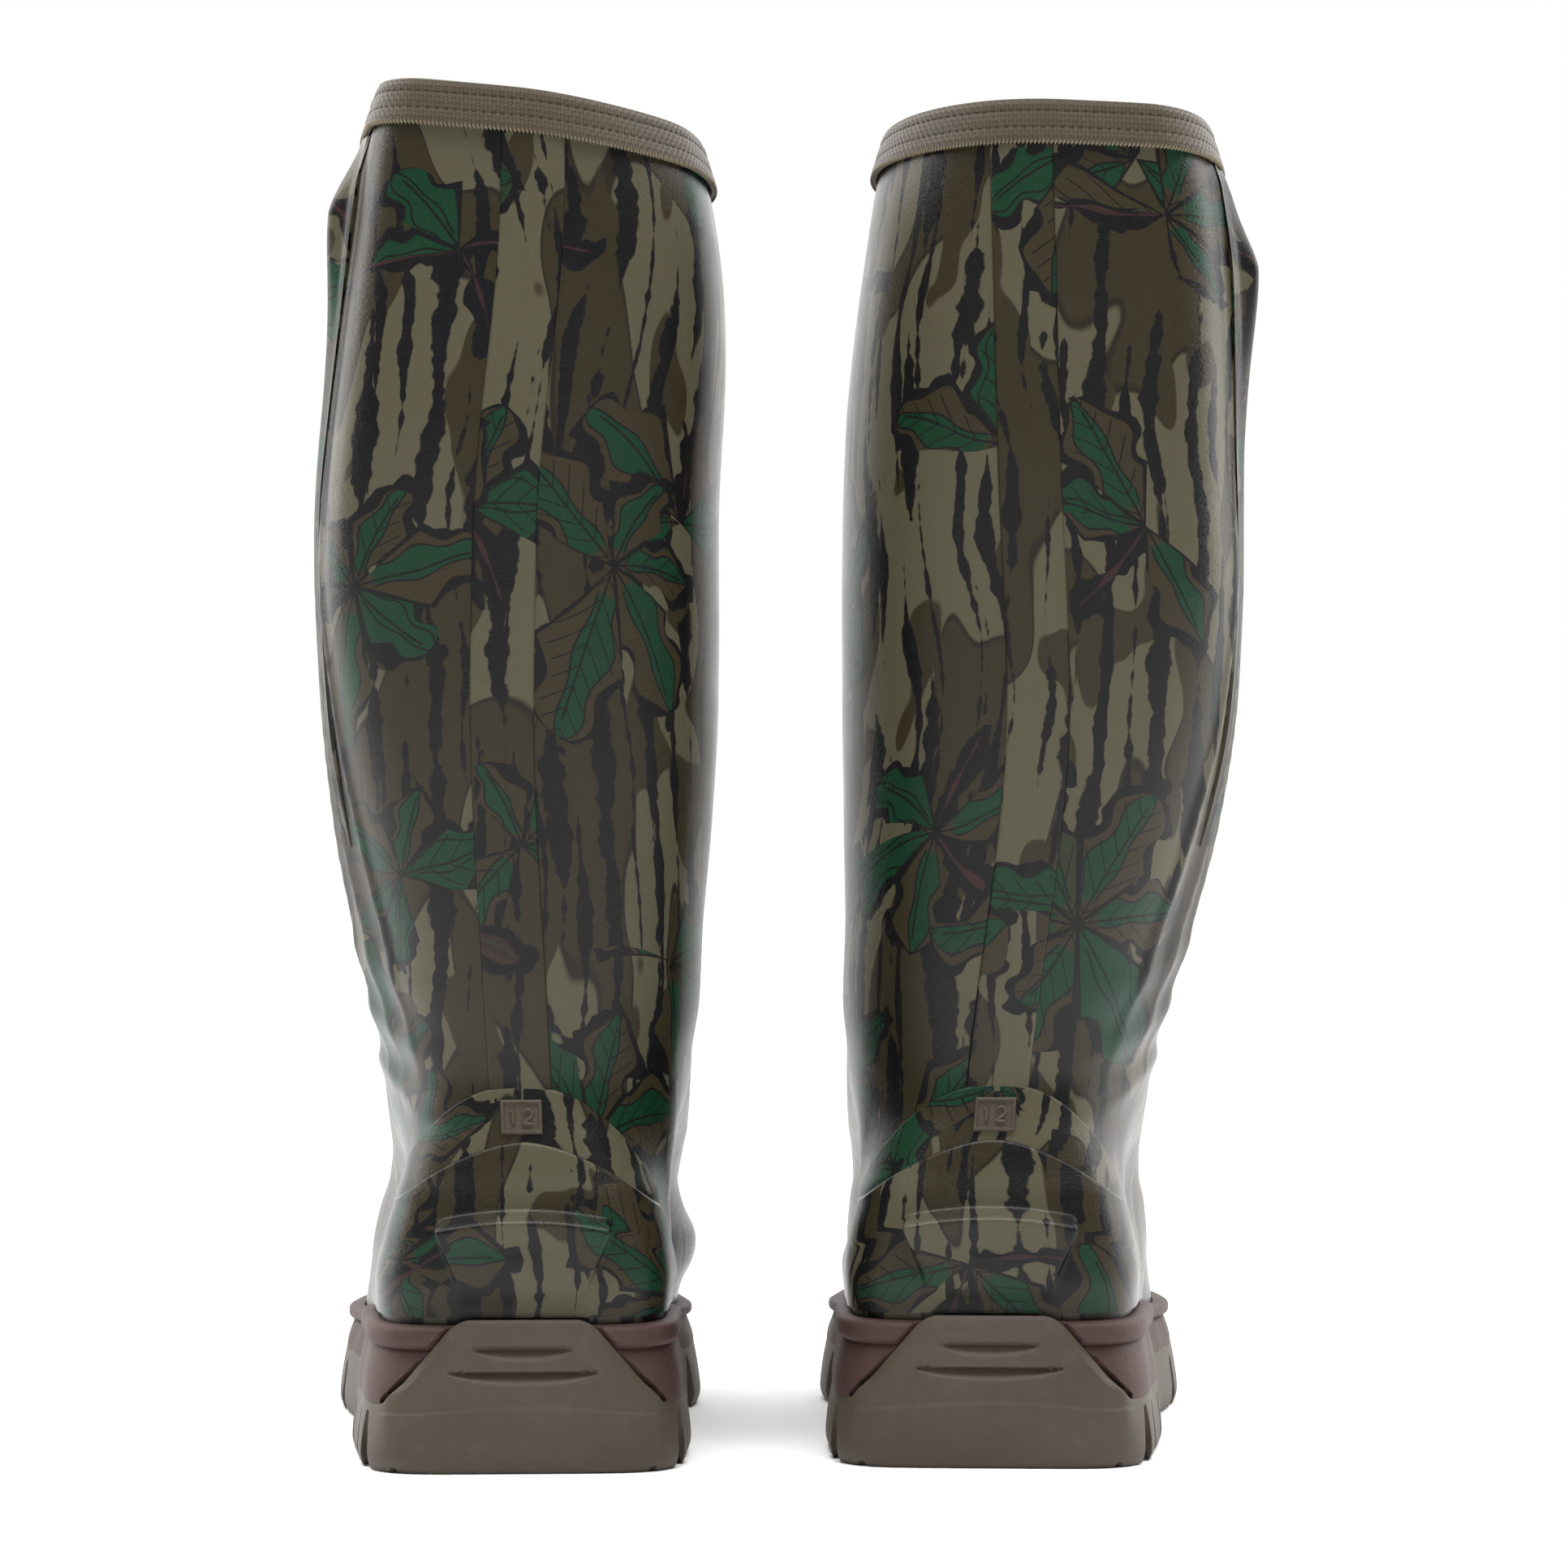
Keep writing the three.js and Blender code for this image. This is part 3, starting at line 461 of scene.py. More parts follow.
@dataclass
class UpperForm:
    """The surface of one boot's upper, which every layer above the sole follows.

    Attributes:
        ankle: How far the ankle leans to the lateral side, in millimetres.
        calf: How much further the calf leans.
        collar: How much further the collar leans.
        tilt: How far the collar's lateral side is raised.
        sag: How far the collar is lowered.
        turn_degrees: How far the backstay turns round the shaft on its way up.
        wing: How far the fold under the collar stands out.
        wing_z: Height above the floor where it stands out most.
        ball: How far the forefoot swells on its medial side.
    """

    ankle: float
    calf: float
    collar: float
    tilt: float
    sag: float
    turn_degrees: float
    wing: float
    wing_z: float
    ball: float
    table: Array = field(init=False)
    slopes: Array = field(init=False)

    def __post_init__(self) -> None:
        """Sets the slopes of the curves through the hoops, which never overshoot a hoop."""
        self.table = np.array([[*h.back, *h.front, h.half, h.foot, h.corner] for h in HOOPS], float)
        steps = np.diff(self.table, axis=0)
        same = steps[:-1] * steps[1:] > 0
        total = np.where(same, steps[:-1] + steps[1:], 1)
        inner = np.where(same, 2 * steps[:-1] * steps[1:] / total, 0)
        self.slopes = np.concatenate([steps[:1], inner, steps[-1:]])

    def station(self, t: Array) -> tuple[Array, Array]:
        """Values and slopes at place t, by cubic Hermite curves between the hoops.

        Args:
            t: Places along the hoops.

        Returns:
            The values and the slopes.
        """
        t = np.asarray(t, float)
        i = np.clip(np.floor(t).astype(int), 0, COLLAR - 1)
        f = (t - i)[..., None]
        p, q, m, n = self.table[i], self.table[i + 1], self.slopes[i], self.slopes[i + 1]
        value = (
            (2 * f**3 - 3 * f**2 + 1) * p
            + (f**3 - 2 * f**2 + f) * m
            + (3 * f**2 - 2 * f**3) * q
            + (f**3 - f**2) * n
        )
        slope = (
            6 * (f**2 - f) * (p - q) + (3 * f**2 - 4 * f + 1) * m + (3 * f**2 - 2 * f) * n
        )
        return value, slope

    def point(self, t: Array, a: Array, depth: Array | float = 0) -> Array:
        """Point of a layer.

        The back and front points move inwards, square to their curves, by the depth, the half width
        shrinks by it, and the plan is laid between them.

        Args:
            t: Place along the hoops, from the sole to the collar.
            a: Angle round the boot: 0 at the back, positive on the lateral side.
            depth: Distance below the outer surface; less than 0 stands proud.

        Returns:
            Points in the boot's own millimetres.
        """
        t, a = np.broadcast_arrays(t, a)
        value, slope = self.station(t)
        back_run = np.hypot(slope[..., 0], slope[..., 1]) + 1e-9
        front_run = np.hypot(slope[..., 2], slope[..., 3]) + 1e-9
        back_y = value[..., 0] + depth * slope[..., 1] / back_run
        back_z = value[..., 1] - depth * slope[..., 0] / back_run
        front_y = value[..., 2] - depth * slope[..., 3] / front_run
        front_z = value[..., 3] + depth * slope[..., 2] / front_run
        foot_along, foot_across = foot_plan(a)
        shaft_along, shaft_across = shaft_plan(a, value[..., 6])
        along = mix(shaft_along, foot_along, value[..., 5])
        across = mix(shaft_across, foot_across, value[..., 5])
        z = mix(back_z, front_z, along)
        x = across * (value[..., 4] - depth) + self.shift(z, along)
        high = z + self.tilt * across * smooth(z, 300, 420) - self.sag * smooth(z, 150, 420)
        return np.stack([x, mix(back_y, front_y, along), high], axis=-1)

    def shift(self, z: Array, along: Array | float) -> Array:
        """Sideways shift at height z; the ankle's fades out at the back of the heel."""
        ankle = self.ankle * smooth(z, 45, 105) * smooth(along, 0, 0.25)
        return ankle + self.calf * smooth(z, 85, 265) + self.collar * smooth(z, 310, 420)

    def even_angles(self, t: Array, columns: int, low: float = -0.5, high: float = 0.5) -> Array:
        """Angles that part each ring into columns of about the same length.

        Args:
            t: Place of each row.
            columns: Number of steps round the part of the ring.
            low: Share of the way round where it starts; -0.5 is the front on the medial side.
            high: Share where it ends.

        Returns:
            Grid of angles, rows by columns + 1.
        """
        count = 1441
        dense = np.linspace(-np.pi, np.pi, count)
        share = np.linspace(low, high, columns + 1) + 0.5
        rows = []
        for plan, size in ((foot_plan(dense), FOOT_SIZE), (shaft_plan(dense, np.ones(count)), SHAFT_SIZE)):
            run = np.hypot(np.diff(plan[0]) * size[0], np.diff(plan[1]) * size[1])
            run = np.concatenate([[0], np.cumsum(run)])
            middle = run[count // 2]
            run = np.where(run < middle, run / middle / 2, 0.5 + (run - middle) / (run[-1] - middle) / 2)
            rows.append(np.interp(share, run, dense))
        foot = self.station(t)[0][:, 5][:, None]
        return mix(rows[1][None], rows[0][None], foot)

    def place_at(self, a: Array, z: Array) -> Array:
        """Place t where the outer surface at angle a is z high, found by halving.

        Args:
            a: Angles round the form.
            z: Heights in millimetres.

        Returns:
            The places.
        """
        a, z = np.broadcast_arrays(a, z)
        ends = np.zeros(a.shape), np.full(a.shape, float(COLLAR))
        return halved(*ends, lambda t: self.point(t, a)[..., 2] < z, 22)

    def lateral_angle(self, t: Array, y: Array) -> Array:
        """Angle of the shaft's lateral point that lies at y.

        Args:
            t: Places along the hoops.
            y: Distances from the heel towards the toe, in millimetres.

        Returns:
            The angles.
        """
        value = self.station(t)[0]
        cosine = 1 - 2 * (y - value[..., 0]) / (value[..., 2] - value[..., 0])
        power = 1 - CORNER_SQUARING * value[..., 6]
        back = np.clip(cosine, 1e-6, 1) ** (1 / power)
        return np.arccos(np.clip(np.where(cosine > 0, back, cosine), -1, 1))


# ------------------------------------------------------------------------------ node trees
@dataclass
class Signal:
    """A value in a material's node tree, with arithmetic that adds the nodes."""

    tree: bpy.types.NodeTree
    socket: bpy.types.NodeSocket

    def _math(self, kind: str, *others: Signal | float) -> Signal:
        """Adds a Math node of this and the other values."""
        node = self.tree.nodes.new("ShaderNodeMath")
        node.operation = kind
        for slot, value in zip(node.inputs, (self, *others)):
            connect(self.tree, slot, value)
        return Signal(self.tree, node.outputs[0])

    def __add__(self, other: Signal | float) -> Signal:
        """Sum."""
        return self._math("ADD", other)

    def __sub__(self, other: Signal | float) -> Signal:
        """Difference."""
        return self._math("SUBTRACT", other)

    def __mul__(self, other: Signal | float) -> Signal:
        """Product."""
        return self._math("MULTIPLY", other)

    def __truediv__(self, other: Signal | float) -> Signal:
        """Quotient."""
        return self._math("DIVIDE", other)

    def __pow__(self, other: Signal | float) -> Signal:
        """Power."""
        return self._math("POWER", other)

    def abs(self) -> Signal:
        """Size without its sign."""
        return self._math("ABSOLUTE")

    def sin(self) -> Signal:
        """Sine of an angle in radians."""
        return self._math("SINE")

    def cos(self) -> Signal:
        """Cosine of an angle in radians."""
        return self._math("COSINE")

    def floor(self) -> Signal:
        """Whole number below."""
        return self._math("FLOOR")

    def fraction(self) -> Signal:
        """Part after the point."""
        return self._math("FRACT")

    def most(self, other: Signal | float) -> Signal:
        """Larger of two."""
        return self._math("MAXIMUM", other)

    def angle_of(self, other: Signal) -> Signal:
        """Angle of the direction (other, this)."""
        return self._math("ARCTAN2", other)

    def above(self, edge: Signal | float, soft: float) -> Signal:
        """0 under the edge and 1 over it, with a soft step."""
        return ((self - edge) * (1 / soft) + 0.5).clamp()

    def below(self, edge: Signal | float, soft: float) -> Signal:
        """1 under the edge and 0 over it, with a soft step."""
        return ((self - edge) * (-1 / soft) + 0.5).clamp()

    def clamp(self) -> Signal:
        """Limits to 0 and 1.

        Returns:
            The limited signal.
        """
        result = self._math("ADD", 0.0)
        result.socket.node.use_clamp = True
        return result


def connect(tree: bpy.types.NodeTree, slot: bpy.types.NodeSocket, value: Signal | tuple | float) -> None:
    """Links a signal to a socket, or sets its constant.

    Args:
        tree: Node tree of both.
        slot: Input socket.
        value: Signal, or a constant.
    """
    if isinstance(value, Signal):
        tree.links.new(value.socket, slot)
    elif isinstance(value, tuple) and len(value) == 3 and len(slot.default_value) == 4:
        slot.default_value = (*value, 1)
    else:
        slot.default_value = value


def srgb(red: float, green: float, blue: float) -> tuple[float, float, float]:
    """Linear colour of display values from 0 to 255."""
    shares = [c / 255 for c in (red, green, blue)]
    return tuple(c / 12.92 if c <= 0.04045 else ((c + 0.055) / 1.055) ** 2.4 for c in shares)


class Painter:
    """Makes one material: its coordinates, its textures and its shader."""

    def __init__(self, name: str) -> None:
        """Starts a material with a bare Principled shader.

        Args:
            name: Name of the material.
        """
        self.material = bpy.data.materials.new(name)
        self.material.use_nodes = True
        self.tree = self.material.node_tree
        self.shader = self.tree.nodes["Principled BSDF"]

    def node(
        self, kind: str, inputs: dict | None = None, output: int | str = 0, **settings: object
    ) -> Signal:
        """Adds a node.

        Args:
            kind: Its type, without the common start of the name.
            inputs: Values or signals by socket name or number.
            output: Which of its outputs is returned.
            **settings: Its properties.

        Returns:
            Signal of the output.
        """
        node = self.tree.nodes.new("ShaderNode" + kind)
        for key, value in settings.items():
            setattr(node, key, value)
        for key, value in (inputs or {}).items():
            connect(self.tree, node.inputs[key], value)
        return Signal(self.tree, node.outputs[output])

    def flat(self) -> tuple[Signal, Signal]:
        """Pattern coordinates (across, up) of the piece, in metres.

        Returns:
            The two coordinates.
        """
        source = self.node("UVMap", uv_map="pattern")
        split = self.node("SeparateXYZ", {0: source})
        return split, Signal(self.tree, split.socket.node.outputs[1])

    def solid(self) -> Signal:
        """Object coordinates in metres."""
        return self.node("TexCoord", output="Object")

    def vector(self, x: Signal | float, y: Signal | float, z: Signal | float = 0.0) -> Signal:
        """Vector from three values."""
        return self.node("CombineXYZ", {0: x, 1: y, 2: z})

    def noise(
        self, at: Signal, scale: float, detail: float = 2, rough: float = 0.5, bend: float = 0
    ) -> Signal:
        """Noise value from 0 to 1."""
        inputs = {"Vector": at, "Scale": scale, "Detail": detail, "Roughness": rough, "Distortion": bend}
        return self.node("TexNoise", inputs)

    def blend(self, share: Signal, under: Signal | tuple, over: Signal | tuple) -> Signal:
        """Colour that goes from one to another.

        Args:
            share: 0 for the first colour, 1 for the second.
            under: First colour.
            over: Second colour.

        Returns:
            The colour.
        """
        mixed = self.tree.nodes.new("ShaderNodeMix")
        mixed.data_type = "RGBA"
        connect(self.tree, mixed.inputs[0], share)
        connect(self.tree, mixed.inputs[6], under)
        connect(self.tree, mixed.inputs[7], over)
        return Signal(self.tree, mixed.outputs[2])

    def bump(self, height: Signal, depth: float, strength: float = 1) -> None:
        """Adds relief to the shader; depth is in metres for a height of 1.

        Args:
            height: Height signal.
            depth: Metres for a height of 1.
            strength: Strength of the bump.
        """
        before = self.shader.inputs["Normal"].links
        inputs = {"Height": height, "Distance": depth, "Strength": strength}
        if before:
            inputs["Normal"] = Signal(self.tree, before[0].from_socket)
        connect(self.tree, self.shader.inputs["Normal"], self.node("Bump", inputs))

    def surface(self, **values: Signal | tuple | float) -> bpy.types.Material:
        """Sets shader sockets by name, with _ for a space, and returns the material."""
        names = {"Specular": "Specular IOR Level"}
        for key, value in values.items():
            connect(self.tree, self.shader.inputs[names.get(key, key.replace("_", " "))], value)
        return self.material


# ------------------------------------------------------------------------------ finishes
# Places for leaves round each rosette; some stay empty.
PETALS = 6


@dataclass(frozen=True)
class PrintedRubber:
    """Satin rubber printed with leaves, bark streaks and blotches.

    Attributes:
        name: The material's name.
        shift: How far the print is moved on this piece, in metres across and up.
        bark: Colour of the ground.
        tan: Colour of the rounded blotches.
        black: Colour of streaks and outlines.
        green: Colour of the green leaves.
        brown: Colour of the dry leaves.
        twig: Colour of the stems.
        roughness: Gloss of the rubber.
        grain: Depth of the embossed grain, in metres.
    """

    name: str
    shift: tuple[float, float] = (0, 0)
    bark: tuple = srgb(44, 38, 23)
    tan: tuple = srgb(78, 74, 57)
    black: tuple = srgb(9, 9, 13)
    green: tuple = srgb(8, 48, 29)
    brown: tuple = srgb(47, 40, 25)
    twig: tuple = srgb(48, 27, 29)
    roughness: float = 0.32
    grain: float = 0.00026

    def rosette(
        self, ink: Painter, across: Signal, up: Signal, cell: float, length: float, shift: float
    ) -> dict:
        """Leaves that spread from a point in each cell of a loose grid.

        Round each point the turn is parted into six petals. In a petal, p runs along the leaf's midrib
        and q across it, and u is p over that leaf's own length, which is random. The leaf's edge lies
        where |q| is a lobed half width: the root of u(1 - u), times 1 + 0.26 sin(lobes), times half
        the leaf's length. Twigs are narrower, leaves end at the petal's sides, and some petals stay
        empty. The edge value is |q| less the half width.

        Args:
            ink: The material that is being made.
            across: Pattern coordinate in metres.
            up: The other one.
            cell: Size of a cell in metres.
            length: Usual length of a leaf in metres.
            shift: Moves this layer against the others, in cells.

        Returns:
            Signals: edge (metres, under 0 inside), p and q (metres), share (u), tone (random by petal),
            stem (1 for a petal that is a twig) and half (the half width in metres).
        """
        at = ink.vector(across / cell + shift, up / cell + shift * 0.7)
        loose = {"Vector": at, "Scale": 1.0, "Randomness": 0.55}
        cells = ink.node("TexVoronoi", loose, "Position", voronoi_dimensions="2D")
        here = ink.node("VectorMath", {0: at, 1: cells}, operation="SUBTRACT")
        x = ink.node("SeparateXYZ", {0: here}) * cell
        y = ink.node("SeparateXYZ", {0: here}, 1) * cell
        dice = ink.node("TexWhiteNoise", {"Vector": cells}, noise_dimensions="2D")
        reach = (x * x + y * y) ** 0.5
        petal = 2 * math.pi / PETALS
        turn = y.angle_of(x) / petal + PETALS / 2 + dice * PETALS
        index = turn.floor()
        swing = (turn - index - 0.5) * petal
        tone = ink.node("TexWhiteNoise", {"W": index + dice * 37}, noise_dimensions="1D")
        size = (tone * 7.31).fraction() * 0.55 + 0.6
        p = reach * swing.cos()
        share = p / (size * length)
        bend = (share * share) * ((tone * 5.7).fraction() - 0.5) * (0.3 * length)
        q = reach * swing.sin() - bend
        stem = tone.below(0.2, 0.01)
        lobes = (share * 14 + tone * 9).sin() * 0.26 + 1
        round_off = (share * ((share * -1) + 1)).most(0.0) ** 0.5
        half = round_off * lobes * (size * length * 0.5)
        half = half * (stem * -0.86 + 1)
        wedge = p * math.tan(petal / 2) * 0.94
        missing = (tone * 13.7).fraction().below(0.22, 0.01)
        edge = (q.abs() - half).most(q.abs() - wedge).most(p - size * length) + missing
        return {"edge": edge, "p": p, "q": q, "share": share, "tone": tone, "stem": stem, "half": half}

    def leaves(self, ink: Painter, under: Signal, leaf: dict, wobble: Signal) -> Signal:
        """Paints one layer of leaves over a colour.

        A leaf is green or brown by its petal; a brown one has a green heart. The outline and shadow
        lie where the edge value is near 0, and veins run off the midrib at a slant.

        Args:
            ink: Painter of the material.
            under: Colour that the leaves lie on.
            leaf: The rosette's signals.
            wobble: Noise that ruffles the edges.

        Returns:
            The colour.
        """
        q, p, tone = leaf["q"], leaf["p"], leaf["tone"]
        edge = leaf["edge"]
        heart = (q - leaf["half"] * 0.2).abs() - leaf["half"] * 0.42
        is_green = (tone * 3.3).fraction().above(0.72, 0.01)
        body = ink.blend(is_green, self.brown, self.green)
        body = ink.blend(heart.below(0.0, 0.0003) * leaf["share"].above(0.16, 0.04), body, self.green)
        line = heart.abs().below(0.00035, 0.0003) * leaf["share"].above(0.16, 0.04)
        midrib = q.abs().below(0.0004, 0.0003) * leaf["share"].below(0.9, 0.02)
        slant = ((p - q.abs() * 1.1) / 0.0075).fraction() - 0.5
        veins = slant.abs().below(0.045, 0.03) * q.abs().below(leaf["half"] * 0.75, 0.0004)
        veins = veins * (tone * 11.9).fraction().above(0.45, 0.01)
        dark = line.most(midrib).most(veins)
        body = ink.blend(dark, body, self.black)
        body = ink.blend(leaf["stem"], body, self.twig)
        shadow = edge.below((wobble - 0.42) * 0.02 + 0.0012, 0.0004)
        shade = ink.blend(shadow, under, self.black)
        return ink.blend(edge.below(-0.0007, 0.0004), shade, body)

    def bark_streaks(self, ink: Painter, across: Signal, up: Signal, ragged: Signal) -> Signal:
        """Share of black in upright streaks.

        The pattern is bent by slow noise and parted into lanes. In each lane a streak's half width
        swells and shrinks with height, and it ends where the width falls under 0.

        Args:
            ink: Painter of the material.
            across: Coordinate across, in metres.
            up: Coordinate up, in metres.
            ragged: Noise that ruffles the edges.

        Returns:
            The share.
        """
        bend = ink.noise(ink.vector(across * 7, up * 7, 5.0), 1, 2, 0.5) * 0.045
        share = None
        for lane, offset in ((0.0115, 0.0), (0.021, 7.7)):
            place = (across + bend) / lane + offset
            index = place.floor()
            dice = ink.node("TexWhiteNoise", {"W": index + offset}, noise_dimensions="1D")
            middle = place - index - 0.5 + (dice - 0.5) * 0.35
            swell = ink.noise(ink.vector(index * 3.7, up * 17, offset), 1, 1, 0.5)
            knob = ink.noise(ink.vector(index * 5.3, up * 130, offset), 1, 1, 0.5)
            half = (swell - 0.44) * 0.95 + (knob - 0.5) * 0.3 + (ragged - 0.5) * 0.12
            inside = (half - middle.abs()).above(0.0, 0.03)
            share = inside if share is None else share.most(inside)
        return share

    def make(self) -> bpy.types.Material:
        """Makes the material.

        Returns:
            The material.
        """
        ink = Painter(self.name)
        across, up = ink.flat()
        across, up = across + (self.shift[0] + 5), up + (self.shift[1] + 5)
        at = ink.vector(across, up)
        waver = ink.noise(at, 60, 2)
        ragged = ink.noise(at, 320, 2)
        blotch = ink.noise(ink.vector(across, up * 0.4), 27, 1, 0.3, 0.4)
        colour = ink.blend(blotch.above(0.47, 0.012), self.bark, self.tan)
        rim = (blotch - 0.47).abs().below(0.006, 0.006)
        colour = ink.blend(rim, colour, srgb(30, 25, 18))
        small = ink.noise(ink.vector(across, up * 0.5, 3.0), 48, 1, 0.3)
        colour = ink.blend(small.above(0.6, 0.012), colour, self.bark)
        colour = ink.blend(self.bark_streaks(ink, across, up, ragged), colour, self.black)
        low = self.rosette(ink, across, up, 0.118, 0.046, 3.3)
        high = self.rosette(ink, across, up, 0.150, 0.052, 8.6)
        colour = self.leaves(ink, colour, low, waver)
        colour = self.leaves(ink, colour, high, waver)
        solid = ink.solid()
        dust = ink.noise(solid, 9, 3, 0.6)
        colour = ink.blend(dust.above(0.5, 0.6) * 0.05, colour, srgb(88, 84, 74))
        grain = ink.noise(solid, 1150, 2, 0.55, 1.6)
        ink.bump(grain, self.grain, 0.55)
        gloss = ink.noise(solid, 40, 3) * 0.16 + (self.roughness - 0.08) + (grain - 0.5) * 0.12
        return ink.surface(Base_Color=colour, Roughness=gloss, Specular=0.22)


@dataclass(frozen=True)
class MouldedRubber:
    """Plain moulded rubber or foam with a pebbled face and paler scuffed patches.

    Attributes:
        name: The material's name.
        colour: Base colour.
        worn: Colour of scuffed spots.
        roughness: Gloss.
        pebble: Pebbles to the metre.
        relief: Depth of the pebbles, in metres.
    """

    name: str
    colour: tuple
    worn: tuple
    roughness: float = 0.62
    pebble: float = 900
    relief: float = 0.00016

    def make(self) -> bpy.types.Material:
        """Makes the material.

        Returns:
            The material.
        """
        ink = Painter(self.name)
        solid = ink.solid()
        patchy = ink.noise(solid, 26, 4, 0.6)
        fine = ink.noise(solid, 210, 3, 0.6)
        colour = ink.blend(patchy.above(0.56, 0.35) * 0.5, self.colour, self.worn)
        colour = ink.blend(fine.above(0.6, 0.2) * 0.3, colour, self.worn)
        pebbles = ink.node("TexVoronoi", {"Vector": solid, "Scale": self.pebble}, feature="SMOOTH_F1")
        ink.bump(pebbles, self.relief, 0.6)
        ink.bump(fine, self.relief * 0.8, 0.5)
        gloss = patchy * 0.2 + (self.roughness - 0.1)
        return ink.surface(Base_Color=colour, Roughness=gloss, Specular=0.4)


@dataclass(frozen=True)
class Woven:
    """Woven tape, cloth or knit: threads over and under, in the pattern's own directions.

    Attributes:
        name: The material's name.
        light: Colour of the raised threads.
        dark: Colour between them, which stands for painted shade in the hollows of the weave.
        pitch: Threads to the metre across and up.
        relief: Depth of the weave, in metres.
        sheen: Share of soft light that the fibres catch at the edge.
    """

    name: str
    light: tuple
    dark: tuple
    pitch: tuple[float, float] = (1400, 1100)
    relief: float = 0.00025
    sheen: float = 0.3

    def make(self) -> bpy.types.Material:
        """Makes the material: warp and weft are |sin| ridges, and their checks alternate on top.

        Returns:
            The material.
        """
        ink = Painter(self.name)
        across, up = ink.flat()
        u, v = across * self.pitch[0], up * self.pitch[1]
        check = ((u / 2).floor() + (v / 2).floor()) / 2
        over = check.fraction() * 2
        warp, weft = (u * math.pi / 2).sin().abs(), (v * math.pi / 2).sin().abs()
        height = over * warp + (over * -1 + 1) * weft
        fuzz = ink.noise(ink.vector(across, up), 2600, 3, 0.7)
        patchy = ink.noise(ink.vector(across, up * 3), 70, 3, 0.6)
        # Painted shade: the colour darkens with the weave's depth, from light on the raised threads to dark
        # between them; fuzz adds random tone.
        colour = ink.blend((height * 0.7 + fuzz * 0.5 - 0.1).clamp(), self.dark, self.light)
        colour = ink.blend(patchy.above(0.5, 0.5) * 0.3, colour, self.dark)
        ink.bump(height, self.relief, 0.7)
        ink.bump(fuzz, self.relief * 0.6, 0.5)
        fuzzy = {"Sheen_Weight": self.sheen, "Sheen_Roughness": 0.5}
        return ink.surface(Base_Color=colour, Roughness=0.88, Specular=0.25, **fuzzy)


@dataclass(frozen=True)
class Fibre:
    """Fibreboard, thread or felt: short fibres in every direction."""

    name: str
    light: tuple
    dark: tuple
    scale: float = 1500
    roughness: float = 0.85

    def make(self) -> bpy.types.Material:
        """Makes the material.

        Returns:
            The material.
        """
        ink = Painter(self.name)
        solid = ink.solid()
        fibres = ink.noise(solid, self.scale, 4, 0.7, 2.5)
        cloud = ink.noise(solid, 60, 3)
        colour = ink.blend((fibres * 0.8 + cloud * 0.5 - 0.15).clamp(), self.dark, self.light)
        ink.bump(fibres, 0.0002, 0.7)
        return ink.surface(Base_Color=colour, Roughness=self.roughness, Specular=0.3)


@dataclass(frozen=True)
class HardPart:
    """Moulded plastic or spring steel with fine scratches."""

    name: str
    colour: tuple
    worn: tuple
    roughness: float = 0.42
    metallic: float = 0

    def make(self) -> bpy.types.Material:
        """Makes the material.

        Returns:
            The material.
        """
        ink = Painter(self.name)
        solid = ink.solid()
        brushed = ink.noise(ink.node("Mapping", {"Vector": solid, "Scale": (1.0, 9.0, 9.0)}), 260, 4, 0.6)
        cloud = ink.noise(solid, 90, 3)
        colour = ink.blend(brushed.above(0.58, 0.2) * 0.5, self.colour, self.worn)
        ink.bump(brushed, 0.00006, 0.5)
        gloss = cloud * 0.2 + (self.roughness - 0.1)
        return ink.surface(Base_Color=colour, Roughness=gloss, Metallic=self.metallic, Specular=0.5)


# ------------------------------------------------------------------------------ one boot
class Carrier(Enum):
    """What a piece moves with; a piece on the ankle goes on no body."""

    FOOT = "foot"
    SHAFT = "shaft"
    ANKLE = "ankle"


# Two points (y, z) of the boot's own frame, at the ankle.
BEND_START = (78, 134)
BEND_END = (66, 188)


@dataclass
class Boot:
    """One boot: its name, its place and its surface."""

    name: str
    place: Placement
    form: UpperForm

    def add(
        self, piece: str, patches: list[Patch], finish: bpy.types.Material, on: Carrier, slot: str,
        stands_for: tuple[str, ...] = (), sharp: float = 38,
    ) -> bpy.types.Object:
        """Builds a piece and puts it on its body.

        Args:
            piece: Name without the boot's.
            patches: Its grids.
            finish: Its material.
            on: What it moves with.
            slot: Not used.
            stands_for: CAD nodes that it replaces, without the boot's name.
            sharp: Edges that bend more than this many degrees stay crisp.

        Returns:
            The piece.
        """
        made = build_mesh(f"{self.name}_{piece}_skin", patches, self.place, sharp)
        made.data.materials.append(finish)
        if stands_for:
            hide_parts(*[f"{self.name}_{node}" for node in stands_for])
        if on is Carrier.ANKLE:
            start, end = (tuple(self.place.world(np.array([0, *p]))) for p in (BEND_START, BEND_END))
            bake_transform(made)
        else:
            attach(made, f"{self.name}_{on.value}")
        LOG.info("%s: %d faces", made.name, len(made.data.polygons))
        return made


class Print(Enum):
    """Stretch of the print that a piece is cut from, in metres across and up."""

    PRINTED = (0, 0.02)
    OVERLAY = (0.83, 0.4)
    HEEL = (0.45, 0.9)
    STRIP = (1.27, 0.23)
    GUSSET = (1.9, 0.6)


